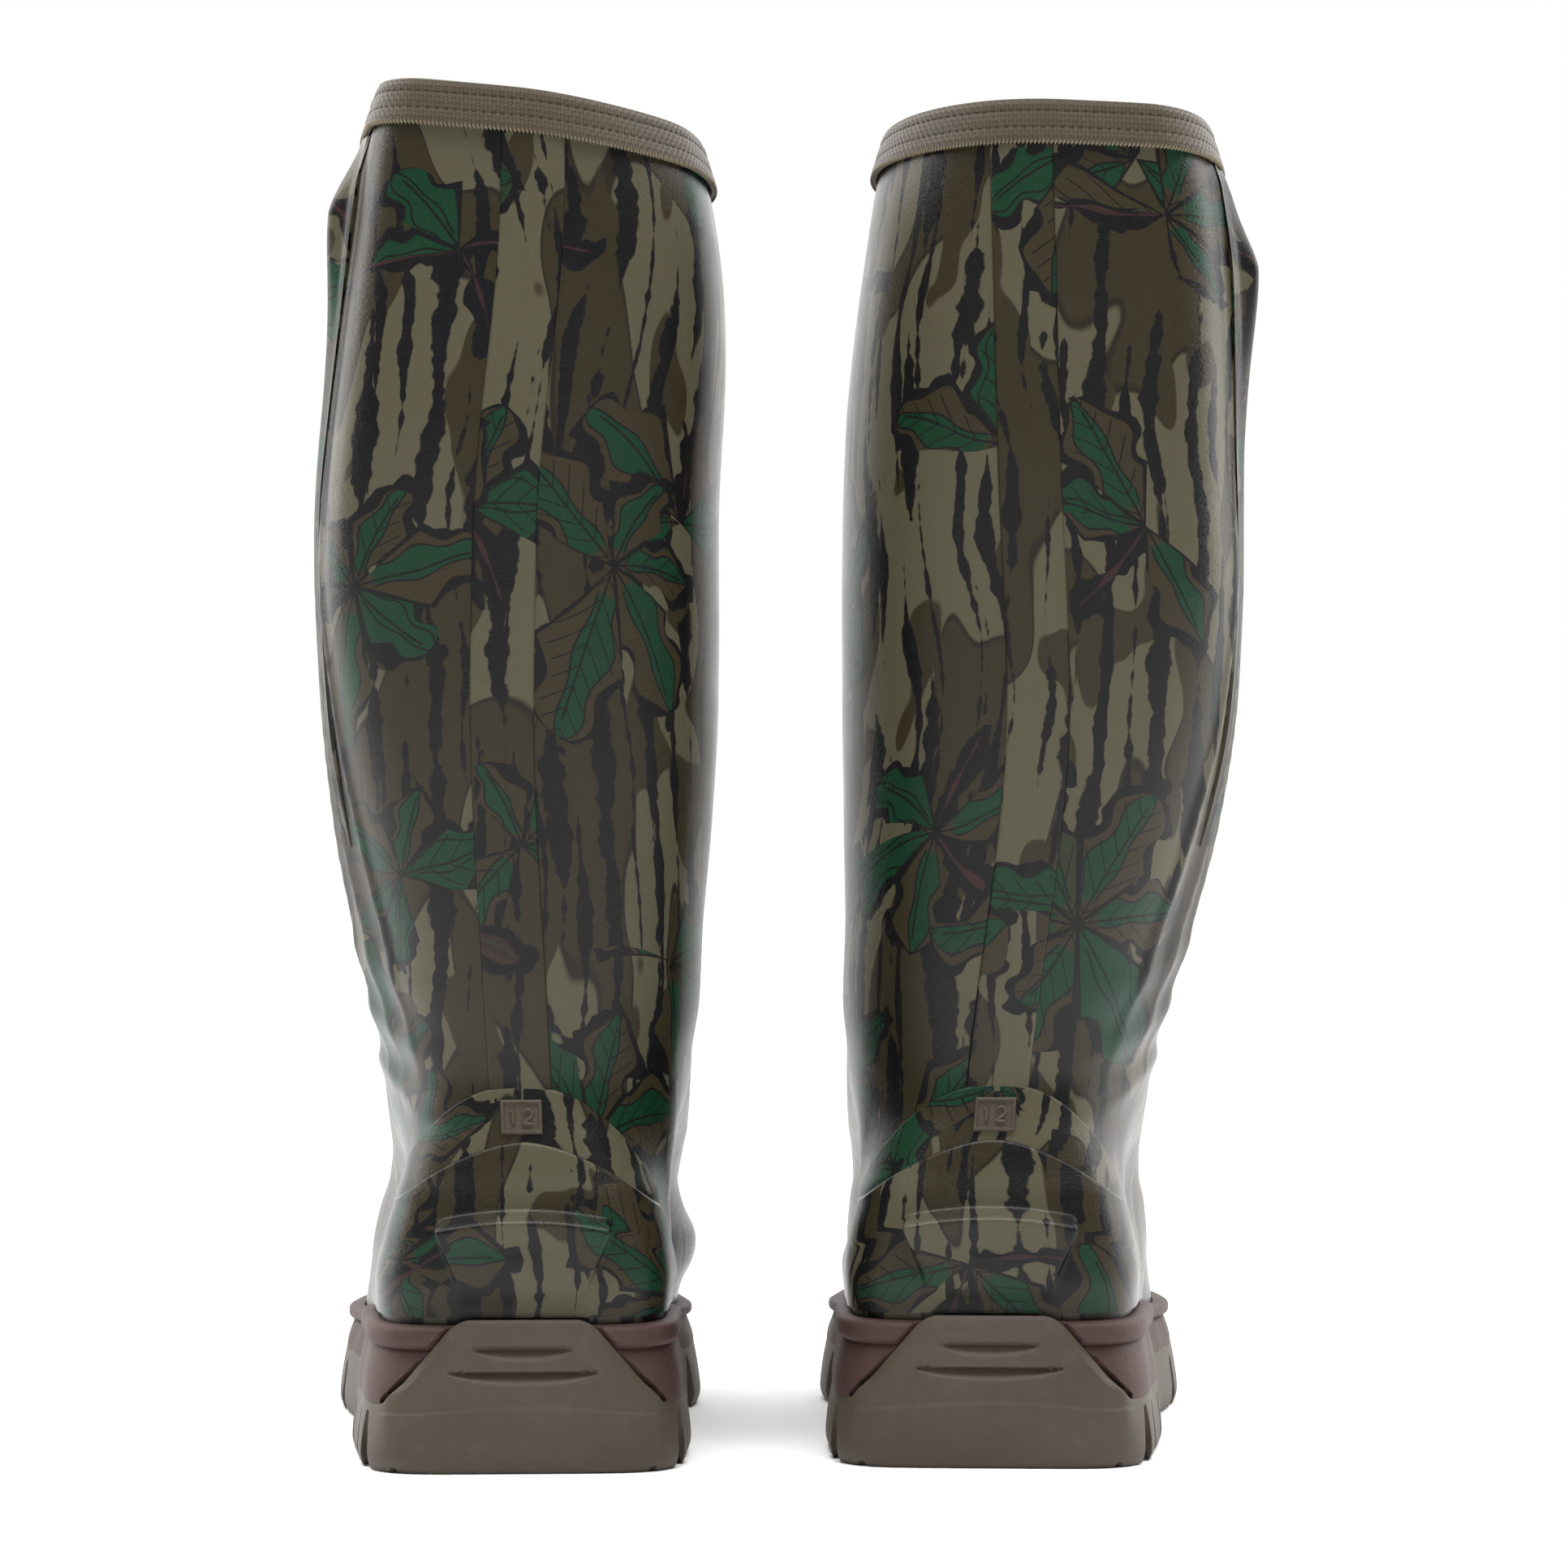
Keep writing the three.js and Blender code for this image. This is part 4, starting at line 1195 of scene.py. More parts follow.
class Finishes:
    """Every material of the pair, made once."""

    def __init__(self) -> None:
        """Makes the printed rubber of each piece, moved against its neighbours', and the rest."""
        self.printed = {}
        for number, name in enumerate(("left", "right")):
            for cut in Print:
                move = (cut.value[0] + 0.31 * number, cut.value[1])
                self.printed[name, cut] = PrintedRubber(f"{name}_{cut.name.lower()}_rubber", move).make()
        taupe, dusty = srgb(67, 58, 47), srgb(82, 72, 59)
        self.outsole = MouldedRubber("outsole_rubber", taupe, dusty, 0.6, 1300, 0.00012).make()
        maroon, faded = srgb(62, 41, 36), srgb(76, 54, 48)
        self.midsole = MouldedRubber("midsole_foam", maroon, faded, 0.66, 700, 0.00018).make()
        fawn, pale = srgb(66, 56, 46), srgb(82, 72, 60)
        self.badge = MouldedRubber("badge_rubber", fawn, pale, 0.55, 1500, 0.0001).make()
        self.tape = Woven("binding_tape", srgb(88, 76, 60), srgb(46, 38, 28), (1500, 1150), 0.00022).make()
        self.knit = Woven("knit_liner", srgb(70, 72, 62), srgb(26, 28, 24), (700, 520), 0.0004, 0.5).make()
        self.thread = Fibre("stitch_thread", srgb(48, 56, 38), srgb(24, 30, 20), 2600).make()
        self.serging = Fibre("serging_thread", srgb(150, 138, 114), srgb(70, 60, 46), 2600).make()
        grey, dark = srgb(86, 84, 72), srgb(34, 34, 30)
        self.footbed = Woven("footbed_cloth", grey, dark, (900, 900), 0.0003, 0.4).make()
        self.board = Fibre("insole_fibreboard", srgb(196, 184, 158), srgb(150, 136, 110), 700).make()
        self.stiffener = HardPart("stiffener_sheet", srgb(48, 46, 42), srgb(76, 73, 66), 0.55).make()
        self.steel = HardPart("shank_steel", srgb(150, 152, 155), srgb(190, 190, 190), 0.32, 1.0).make()


# ------------------------------------------------------------------------------ the upper
@dataclass
class Shell:
    """Printed rubber shell from the sole to the collar, in one piece across the ankle."""

    wall: float = 2.5
    columns: int = 350
    rows: int = 258
    inner_rows: int = 18
    ridge: float = 1.7
    crease: float = 1.6

    def band(self, z: Array) -> tuple[Array, Array]:
        """Middle and half width of the gusset's band along y at height z."""
        rise = smooth(z, 120, 440)
        return mix(52, 42, rise), mix(15, 18, rise)

    def relief(self, form: UpperForm, t: Array, a: Array) -> Array:
        """How far the surface stands proud.

        Upright ridges 1 - |sin| run down the gusset's band and fade at the ankle. Bell curves over
        height make the creases of the ankle, on the lateral side and across the instep.

        Args:
            form: Form of the boot's upper.
            t: Places along the hoops.
            a: Angles round the form.

        Returns:
            The distances, in millimetres.
        """
        at = form.point(t, a)
        y, z = at[..., 1], at[..., 2]
        lateral = smooth(np.sin(a), 0.1, 0.5)
        middle, half = self.band(z)
        g = (y - middle) / half
        inside = smooth(1.35 - np.abs(g), 0, 0.35)
        crest = 1 - np.abs(np.sin(np.pi * (g + 1)))
        fade = smooth(z, 108, 190) * (1 - smooth(z, 425, 440))
        out = self.ridge * crest * inside * fade * lateral
        tilt = z + 7 * np.sin(3 * a)
        folds = hump(tilt, 124, 5) + 0.9 * hump(tilt, 143, 6) + 0.7 * hump(tilt, 164, 8)
        out = out + self.crease * folds * smooth(np.sin(a), 0.25, 0.8) * (1 - smooth(y, 95, 125))
        front = smooth(-np.cos(a), 0.25, 0.85)
        slanted = z - 0.2 * np.abs(at[..., 0])
        instep = hump(slanted, 142, 5) + hump(slanted, 160, 6) + 0.8 * hump(slanted, 181, 7)
        out = out + 1.7 * front * instep
        fore = hump(y, 215, 50) * hump(z, 57, 13)
        out = out + fore * (form.ball * smooth(-np.sin(a), 0.4, 0.9) - 3 * smooth(np.sin(a), 0.4, 0.9))
        soft = np.sin(z / 31 + 2 * a) * np.sin(z / 47 - 3 * a + 1)
        side = np.abs(np.sin(a)) ** 2
        return out + 0.8 * soft * side * smooth(z, 110, 180)

    def build(self, boot: Boot, finish: bpy.types.Material) -> None:
        """Builds the outer face, the lip at the collar and the inner face.

        Args:
            boot: Boot that takes the piece.
            finish: Material of the piece.
        """
        form = boot.form
        dense = np.linspace(0, COLLAR, 600)
        ends = [form.point(dense, np.full(600, b)) for b in (0.0, np.pi)]
        run = sum(lengths(end) for end in ends)
        t = np.interp(np.linspace(0, run[-1], self.rows + 1), run, dense)
        a = form.even_angles(t, self.columns)
        place = np.repeat(t[:, None], a.shape[1], axis=1)
        outer = form.point(place, a, -self.relief(form, place, a))
        flat = unrolled(outer, boot.place.side)
        down = np.linspace(COLLAR, 0, self.inner_rows + 1)
        b = form.even_angles(down, self.columns)
        b[0], b[-1] = a[-1], a[0]
        inner = form.point(np.repeat(down[:, None], b.shape[1], axis=1), b, self.wall)
        rim = np.stack([outer[-1], inner[0]])
        foot = np.stack([inner[-1], outer[0]])
        patches = [Patch(outer, flat), Patch(rim), Patch(inner), Patch(foot)]
        nodes = ("foot_shell", "ankle_shell", "shaft_shell")
        boot.add("shell", patches, finish, Carrier.ANKLE, "printed_rubber", nodes, 60)


@dataclass
class Liner:
    """Insulated lining with a knitted face, from the floor to the collar."""

    gap: float = 0.3
    thickness: float = 5
    columns: int = 170
    rows: int = 120
    quilt: float = 0.5

    def build(self, boot: Boot, finish: bpy.types.Material, shell_wall: float) -> None:
        """Builds both faces; the inner one swells between its channels by |sin|.

        Args:
            boot: Boot that takes the piece.
            finish: Material of the piece.
            shell_wall: Thickness of the shell.
        """
        form = boot.form
        t = np.linspace(0.12, COLLAR, self.rows + 1)
        a = form.even_angles(t, self.columns)
        place = np.repeat(t[:, None], a.shape[1], axis=1)
        outer_depth = shell_wall + self.gap
        swell = self.quilt * np.abs(np.sin(9 * a)) * smooth(COLLAR - place, 0, 1)
        outer = form.point(place, a, outer_depth)
        inner = form.point(place, a, outer_depth + self.thickness - self.quilt + swell)
        patches = [Patch(outer), Patch(np.stack([outer[-1], inner[-1]])), Patch(inner)]
        patches.append(Patch(np.stack([outer[0], inner[0]])))
        nodes = ("foot_liner", "ankle_liner", "shaft_liner")
        boot.add("liner", patches, finish, Carrier.ANKLE, "liner", nodes)


@dataclass
class Backstay:
    """Strip over the back seam, from the heel overlay to the binding, with rounded edges."""

    width: float = 21
    wall: float = 1
    ridge: float = 0.35
    low: float = 112
    columns: int = 36
    rows: int = 250

    def build(self, boot: Boot, finish: bpy.types.Material, relief: Shell) -> None:
        """Carries the strip's profile up the shaft while it turns.

        The profile is wall times the fourth root of 1 - u^8, with a faint ridge in the middle.

        Args:
            boot: Boot that takes the piece.
            finish: Material of the piece.
            relief: Shell whose relief the strip follows.
        """
        form = boot.form
        z = np.linspace(self.low, 441 - form.sag, self.rows + 1)[:, None]
        u = np.linspace(-1, 1, self.columns + 1)[None, :]
        t = form.place_at(np.zeros_like(z), z)
        rise = smooth(z, 160, 440) * (z - 160) / 280
        centre = np.radians(form.turn_degrees) * rise
        a = self.spread(form, t, centre, u * self.width / 2)
        place = np.broadcast_to(t, a.shape)
        proud = self.wall * np.clip(1 - u**8, 0, 1) ** 0.25 + self.ridge * hump(u, 0, 0.09)
        ground = relief.relief(form, place, a)
        outer = form.point(place, a, -(ground + proud + 0.05))
        inner = form.point(place, a, -ground + 0.4)
        patches = slab_patches(outer, inner)
        boot.add("backstay", patches, finish, Carrier.ANKLE, "overlay_rubber", ("backstay",), 60)

    def spread(self, form: UpperForm, t: Array, centre: Array, offset: Array) -> Array:
        """Angles that lie offset millimetres from the centre line, by halving the way there.

        Args:
            form: Form of the boot's upper.
            t: Places along the hoops.
            centre: Angles of the centre line.
            offset: Distances from it, in millimetres.

        Returns:
            The angles.
        """
        ends = np.full(offset.shape, -0.6) + centre, np.full(offset.shape, 0.6) + centre
        middle = form.point(t, centre)[..., 0]
        return halved(*ends, lambda a: form.point(t, a)[..., 0] - middle < offset)


@dataclass
class HeelOverlays:
    """Two raised overlays under arcs, and the kick-off ledge on the lower one."""

    reach: float = 96
    lower_top: float = 108
    upper_top: float = 126
    lower_drop: float = 22
    upper_drop: float = 35
    lower_bend: float = 1.7
    upper_bend: float = 2.4
    arc_half: float = 44
    lower_wall: float = 1.8
    upper_wall: float = 1.1
    low: float = 50.5
    kick_half: float = 27.5
    kick_low: float = 64
    kick_high: float = 85
    kick_depth: float = 8.0
    columns: int = 300

    def arc(self, form: UpperForm, a: Array, run: Array, top: float, drop: float, bend: float) -> Array:
        """Height of an arc: top less drop |x / half|^bend, falling further along the boot's side.

        The x of an angle depends on the height, so the height is worked out again with each new x.

        Args:
            form: Form of the boot's upper.
            a: Angles round the form.
            run: Distances along the heel from its middle.
            top: Height at the middle.
            drop: Fall at the ends.
            bend: Power of the fall.

        Returns:
            The heights, in millimetres.
        """
        z = np.full(a.shape, top)
        for _ in range(9):
            x = form.point(form.place_at(a, z), a)[..., 0] - form.shift(z, 0)
            z = top - drop * np.abs(x / self.arc_half) ** bend - 0.55 * np.clip(np.abs(run) - 58, 0, None)
        return z

    def grid(self, form: UpperForm, rows: int, upper: bool) -> dict:
        """Grid of angles and heights under an arc, with its run along the heel and its places.

        Args:
            form: Form of the boot's upper.
            rows: Steps from the bottom to the arc.
            upper: Whether it is the upper overlay.

        Returns:
            The grid, by name.
        """
        dense = np.linspace(-1.5, 1.5, 1201)
        line = form.point(form.place_at(dense, 85.0), dense)
        length = lengths(line)
        length -= length[len(line) // 2]
        run = np.linspace(-self.reach, self.reach, self.columns + 1)
        a = np.interp(run, length, dense)
        crown = self.arc(form, a, run, self.lower_top, self.lower_drop, self.lower_bend)
        foot = np.full(run.shape, self.low)
        if upper:
            foot = crown - 5
            crown = self.arc(form, a, run, self.upper_top, self.upper_drop, self.upper_bend)
        v = np.linspace(0, 1, rows + 1)[:, None]
        z = mix(np.minimum(foot, crown - 1)[None], crown[None], v)
        angle = np.broadcast_to(a[None], z.shape)
        t = form.place_at(angle, z)
        return {"a": angle, "t": t, "z": z, "run": np.broadcast_to(run[None], z.shape), "crown": crown}

    def edge(self, grid: dict, radius: float) -> Array:
        """Rounding of the upper and side edges: the quarter round of d / radius."""
        d = np.minimum(grid["crown"][None] - grid["z"], self.reach - np.abs(grid["run"]))
        return quarter_round(d / radius)

    def kick(self, x: Array, z: Array) -> Array:
        """Ledge: a block with a rounded top, which narrows and fades downwards.

        Args:
            x: Distances across, in millimetres.
            z: Heights in millimetres.

        Returns:
            How far it stands proud, in millimetres.
        """
        half = self.kick_half - 6 * (1 - smooth(z, self.kick_low - 6, self.kick_high - 2))
        side = smooth(half - np.abs(x), -1, 2.8)
        over = smooth(self.kick_high + 0.8 - 0.004 * x**2 - z, 0, 5.6)
        fade = smooth(z, self.kick_low - 10, self.kick_low + 14)
        hollow = 1 - 0.35 * hump(z, self.kick_low + 9, 6) * (1 - (x / self.kick_half) ** 2)
        return self.kick_depth * side * over * fade * hollow

    def build(self, boot: Boot, upper: bpy.types.Material, lower: bpy.types.Material) -> None:
        """Builds both overlays; the lower one carries the ledge.

        Args:
            boot: Boot that takes the piece.
            upper: Material of the upper overlay.
            lower: Material of the lower overlay.
        """
        form = boot.form
        kinds = (("upper", 60, self.upper_wall, 1.3, upper), ("lower", 96, self.lower_wall, 1.8, lower))
        for name, rows, wall, radius, finish in kinds:
            g = self.grid(form, rows, name == "upper")
            proud = 0.1 + wall * self.edge(g, radius)
            if name == "lower":
                proud = proud + self.kick(form.point(g["t"], g["a"])[..., 0], g["z"])
            patches = slab_patches(form.point(g["t"], g["a"], -proud), form.point(g["t"], g["a"], 0.5))
            nodes = (f"{name}_heel_overlay",)
            boot.add(f"{name}_overlay", patches, finish, Carrier.FOOT, "overlay_rubber", nodes, 60)


@dataclass
class SizeBadge:
    """Small raised plate with a rim and a size number of two generic digits."""

    width: float = 13.5
    height: float = 11.5
    low: float = 110
    wall: float = 1.4
    rim: float = 0.75
    stroke: float = 0.6

    def on_heel(self, form: UpperForm, x: Array, z: Array, depth: Array | float) -> Array:
        """Point of the heel's surface at x and z, by halving the angle.

        Args:
            form: Form of the boot's upper.
            x: Distances across, in millimetres.
            z: Heights in millimetres.
            depth: Depth below the surface; negative stands proud.

        Returns:
            The points.
        """
        x, z = np.broadcast_arrays(np.asarray(x, float), np.asarray(z, float))
        at = x + form.shift(z, 0)
        ends = np.full(x.shape, -1.2), np.full(x.shape, 1.2)
        a = halved(*ends, lambda b: form.point(form.place_at(b, z), b)[..., 0] < at, 18)
        return form.point(form.place_at(a, z), a, depth)

    def digit_paths(self) -> list[Array]:
        """Strokes of a 1 and a 2, each in a box about 3 wide and 5 high round its own middle.

        Returns:
            The strokes.
        """
        one = [np.array([[-0.9, 1.4], [0, 2.4]]), np.array([[0, 2.4], [0, -2.4]])]
        b = np.linspace(np.pi * 0.95, -0.2 * np.pi, 12)
        bow = np.stack([1.45 * np.cos(b), 1.0 + 1.4 * np.sin(b)], axis=1)
        two = [np.concatenate([bow, [[-1.5, -2.4]]]), np.array([[-1.5, -2.4], [1.6, -2.4]])]
        return [p + [-2.6, 0] for p in one] + [p + [2.0, 0] for p in two]

    def build(self, boot: Boot, finish: bpy.types.Material, under: float) -> None:
        """Builds the plate, whose rim is a rounded frame, and lays the digits on it.

        Args:
            boot: Boot that takes the piece.
            finish: Material of the piece.
            under: Thickness of the overlay that it lies on.
        """
        form = boot.form
        mirror = boot.place.side
        u = np.linspace(-1, 1, 49)[None, :]
        v = np.linspace(-1, 1, 41)[:, None]
        x, z = u * self.width / 2, self.low + self.height / 2 + v * self.height / 2
        d = np.minimum(self.width / 2 - np.abs(x), self.height / 2 * (1 - np.abs(v)))
        proud = self.wall * quarter_round(d / 0.8)
        proud = proud - self.rim * smooth(d, 1.1, 1.5)
        outer = self.on_heel(form, x + 0 * z, z + 0 * x, -(under + 0.1 + proud))
        inner = self.on_heel(form, x + 0 * z, z + 0 * x, -(under - 0.6))
        patches = slab_patches(outer, inner)
        lift = under + 0.45 + self.wall - self.rim
        for path in self.digit_paths():
            steps = np.linspace(0, len(path) - 1, 4 * len(path))
            px = np.interp(steps, np.arange(len(path)), path[:, 0]) * mirror
            pz = np.interp(steps, np.arange(len(path)), path[:, 1]) + self.low + self.height / 2
            patches.append(tube(self.on_heel(form, px, pz, -lift), self.stroke, 8, (0.03, 1, 0.02)))
        boot.add("size_badge", patches, finish, Carrier.FOOT, "badge_rubber", ("size_badge",), 50)


@dataclass
class ToeCap:
    """Overlay round the toes with a rounded upper edge."""

    start: float = 252
    wall: float = 1.1
    low: float = 43.5
    columns: int = 180
    rows: int = 70

    def build(self, boot: Boot, finish: bpy.types.Material) -> None:
        """Builds the cap: each column runs from the sole to the slanted line across the toes.

        Args:
            boot: Boot that takes the piece.
            finish: Material of the piece.
        """
        form = boot.form
        c = np.linspace(-1, 1, self.columns + 1)
        a = np.pi + c * 0.98
        bottom = form.place_at(a, self.low)
        low, high = bottom.copy(), np.full(a.shape, 7.0)
        for _ in range(24):
            t = (low + high) / 2
            at = form.point(t, a)
            ahead = at[:, 1] > self.start - (at[:, 2] - self.low) * 0.19 + 10 * np.abs(c) ** 3
            low, high = np.where(ahead, t, low), np.where(ahead, high, t)
        v = np.linspace(0, 1, self.rows + 1)[:, None]
        place = mix(bottom[None], ((low + high) / 2)[None], v)
        angle = np.broadcast_to(a[None], place.shape)
        round_off = quarter_round((1 - v) * (high - bottom)[None] / 0.08)
        outer = form.point(place, angle, -(0.15 + self.wall * round_off))
        inner = form.point(place, angle, 0.5)
        patches = slab_patches(outer, inner)
        boot.add("toe_cap", patches, finish, Carrier.FOOT, "overlay_rubber", ("toe_cap",), 60)


@dataclass
class SideGusset:
    """Pleated panel under the collar, whose top fold stands out as a wing."""

    low: float = 205
    high: float = 441
    pleats: int = 3
    depth: float = 1.5
    columns: int = 84
    rows: int = 210

    def build(self, boot: Boot, finish: bpy.types.Material, shell: Shell) -> None:
        """Builds the panel: folds (1 - |sin|)^0.8 across it, deeper towards the collar, and a wing.

        Args:
            boot: Boot that takes the piece.
            finish: Material of the piece.
            shell: Shell whose band the panel follows.
        """
        form = boot.form
        v = np.linspace(0, 1, self.rows + 1)[:, None]
        g = np.linspace(-1, 1, self.columns + 1)[None, :]
        z = mix(self.low, self.high, v)
        middle, half = shell.band(z)
        y = middle + g * half * mix(0.35, 1, smooth(v, 0, 0.55))
        middle_t = form.place_at(np.full(z.shape, 1.1), z)
        t = np.broadcast_to(middle_t, y.shape)
        a = form.lateral_angle(t, y)
        for _ in range(3):
            t = form.place_at(a, np.broadcast_to(z, a.shape))
            a = form.lateral_angle(t, y)
        crest = 1 - np.abs(np.sin(np.pi * self.pleats * (g + 1) / 2))
        edge = smooth(1 - np.abs(g), 0, 0.1)
        grow = mix(0.25, 1, smooth(z, 230, 410)) * (1 - smooth(z, 422, 440))
        tail = np.where(z > form.wing_z, 16.0, 34.0)
        wing = form.wing * np.exp(-np.abs((z - form.wing_z) / tail) ** 1.6) * hump(g, -0.35, 0.42)
        ground = shell.relief(form, t, a)
        proud = ground * (1 - edge) + 0.3 + edge * (0.5 + self.depth * crest**0.8 * grow) + wing
        outer = form.point(t, a, -proud)
        inner = form.point(t, a, 1.2)
        nodes = ("side_gusset",)
        boot.add("gusset", slab_patches(outer, inner), finish, Carrier.SHAFT, "gusset_rubber", nodes, 70)


@dataclass
class Binding:
    """Woven tape folded over the collar, with two rows of stitches and a serged lower edge."""

    height: float = 14
    wall: float = 1.5
    inside: float = 8.1
    puff: float = 0.45
    clearance: float = 0.35
    rows_at: tuple[float, float] = (0.36, 0.8)
    stitch: float = 2.3
    pitch: float = 3.1
    columns: int = 420

    def shell_line(self, form: UpperForm, a: Array, drop: Array, depth: Array) -> Array:
        """Point of the collar's outside: drop below the top edge and depth below the surface.

        Args:
            form: Form of the boot's upper.
            a: Angles round the form.
            drop: Distances below the top edge.
            depth: Depths below the surface.

        Returns:
            The points.
        """
        top = form.point(np.full(a.shape, float(COLLAR)), a, depth)
        span = HOOPS[-1].back[1] - HOOPS[-2].back[1]
        low = form.point(COLLAR - drop / span, a, depth)
        return np.where(drop[..., None] < 0, top - np.stack([0 * drop, 0 * drop, drop], axis=-1), low)

    def build(
        self, boot: Boot, finish: bpy.types.Material, thread: bpy.types.Material, serging: bpy.types.Material
    ) -> None:
        """Carries the tape's folded profile round the collar, then sews it.

        The outer flange swells between the stitch rows by |sin|, the top is a half round, and the
        inner flange hangs down inside the liner.

        Args:
            boot: Boot that takes the piece.
            finish: Material of the tape.
            thread: Material of the stitches.
            serging: Material of the overcast edge.
        """
        form = boot.form
        a = form.even_angles(np.array([float(COLLAR)]), self.columns)[0]
        share = np.linspace(0, 1, 25)
        cuts = np.array([0, *self.rows_at, 1.0])
        part = np.searchsorted(cuts, share, side="right").clip(1, 3)
        local = (share - cuts[part - 1]) / (cuts[part] - cuts[part - 1])
        pad = self.puff * np.sin(np.pi * np.clip(local, 0, 1)) ** 0.5
        drop_out, depth_out = self.height * (1 - share), -(self.clearance + self.wall + pad)
        b = np.linspace(0, np.pi, 13)[1:-1]
        middle, reach = (self.inside - self.clearance) / 2, (self.inside + self.clearance) / 2 + self.wall
        depth_top, drop_top = middle - reach * np.cos(b), -self.wall * np.sin(b) ** 0.5
        drop_in, depth_in = self.height * share, np.full(25, self.inside + self.wall)
        back_drop, back_depth = np.linspace(self.height, 0, 8), np.full(8, self.inside)
        front_drop, front_depth = np.linspace(0, self.height, 8), np.full(8, -0.3)
        drop = np.concatenate([drop_out, drop_top, drop_in, back_drop, front_drop, drop_out[:1]])
        depth = np.concatenate([depth_out, depth_top, depth_in, back_depth, front_depth, depth_out[:1]])
        angle = np.broadcast_to(a[None], (len(drop), len(a)))
        drops, depths = (np.repeat(value[:, None], len(a), 1) for value in (drop, depth))
        points = self.shell_line(form, angle, drops, depths)
        boot.add("binding", [Patch(points)], finish, Carrier.SHAFT, "binding_tape", ("top_binding",), 50)
        rows = [self.sew(form, 1 - r, self.pitch, self.stitch, 0.34, 0) for r in self.rows_at]
        boot.add("binding_stitches", sum(rows, []), thread, Carrier.SHAFT, "binding_tape")
        edge = self.sew(form, 0.985, 1.35, 2.0, 0.36, 1.15)
        boot.add("binding_serging", edge, serging, Carrier.SHAFT, "binding_tape")

    def sew(
        self, form: UpperForm, drop: float, pitch: float, length: float, radius: float, slant: float
    ) -> list[Patch]:
        """Threads along a line round the tape.

        Args:
            form: The boot's surface.
            drop: Share of the tape's height below its top edge.
            pitch: Distance between threads.
            length: Length of each.
            radius: Radius of each.
            slant: How far a thread turns from the line, in radians.

        Returns:
            The threads.
        """
        dense = np.linspace(-np.pi, np.pi, 2001)
        level = np.full(dense.shape, self.height * drop)
        depth = np.full(dense.shape, -(self.clearance + self.wall + 0.05))
        line = self.shell_line(form, dense, level, depth)
        run = lengths(line)
        count = int(run[-1] / pitch)
        at = (np.arange(count) + 0.5) / count * run[-1]
        centres = np.stack([np.interp(at, run, line[:, k]) for k in range(3)], axis=1)
        ahead = unit(np.stack([np.interp(at + 0.5, run, line[:, k]) for k in range(3)], axis=1) - centres)
        out = unit(np.cross(ahead, [0, 0, 1]))
        along = ahead * math.cos(slant) + np.cross(out, ahead) * math.sin(slant)
        return stitches(centres, along, out, length, radius)


# ------------------------------------------------------------------------------ the sole
@dataclass
class SolePlan:
    """Plan of the sole and the heights that its pieces share."""

    length: float = 322
    half: float = 66
    rim: float = 22
    floor: float = 11
    tab_top_half: float = 23
    tab_base_half: float = 47
    tab_high: float = 50
    tab_reach: float = 45
    top_heel: float = 48
    top_toe: float = 37
    toe_spring: float = 8

    def angles(self, columns: int) -> Array:
        """Angles from 0 to a full turn, symmetric about the length, closer together at the heel.

        Args:
            columns: How many steps there are.

        Returns:
            The angles.
        """
        dense = np.linspace(0, np.pi, 2001)
        along, across = foot_plan(dense)
        step = np.hypot(np.diff(along) * self.length, np.diff(across) * self.half)
        weight = 1 + 1.6 * (1 - smooth(along[1:] * self.length, 10, 45))
        run = np.concatenate([[0], np.cumsum(step * weight)])
        half = np.interp(np.linspace(0, run[-1], columns // 2 + 1), run, dense)
        return np.concatenate([half, 2 * np.pi - half[-2::-1]])

    def ring(self, a: Array, inset: Array | float) -> tuple[Array, Array]:
        """Plan point at an inset from the widest outline.

        Args:
            a: Angles round the plan.
            inset: Distances inwards, in millimetres.

        Returns:
            Distances across and along.
        """
        signed = np.where(a > np.pi, a - 2 * np.pi, a)
        along, across = foot_plan(signed)
        return across * (self.half - inset), mix(inset, self.length - inset, along)

    def line(self, a: Array, inset: Array | float, z: Array | float) -> Array:
        """Points of the plan at an inset and a height."""
        return np.stack(np.broadcast_arrays(*self.ring(a, inset), z), axis=-1)

    def lip(self, y: Array) -> Array:
        """Height of the midsole's lip."""
        return mix(self.top_heel, self.top_toe, smooth(y / self.length, 0.2, 0.6))

    def board(self, y: Array) -> Array:
        """Height of the midsole's flat, sloping floor."""
        return mix(30.0, 25.0, y / self.length)

    def tab(self, x: Array, y: Array) -> Array:
        """Height of the heel tab's edge: a trapezoid with rounded corners, and the rim elsewhere.

        Args:
            x: Distances across, in millimetres.
            y: Distances from the heel towards the toe, in millimetres.

        Returns:
            The heights, in millimetres.
        """
        slope = (self.tab_high - self.rim) / (self.tab_base_half - self.tab_top_half)
        side = self.tab_high - (np.abs(x) - self.tab_top_half) * slope
        soft = 3.0
        top = np.minimum(side, self.tab_high)
        near = np.clip(1 - np.abs(side - self.tab_high) / (2 * soft), 0, 1)
        top = top - soft * 0.5 * near**2
        return np.where(y < self.tab_reach, np.maximum(top, self.rim), self.rim)


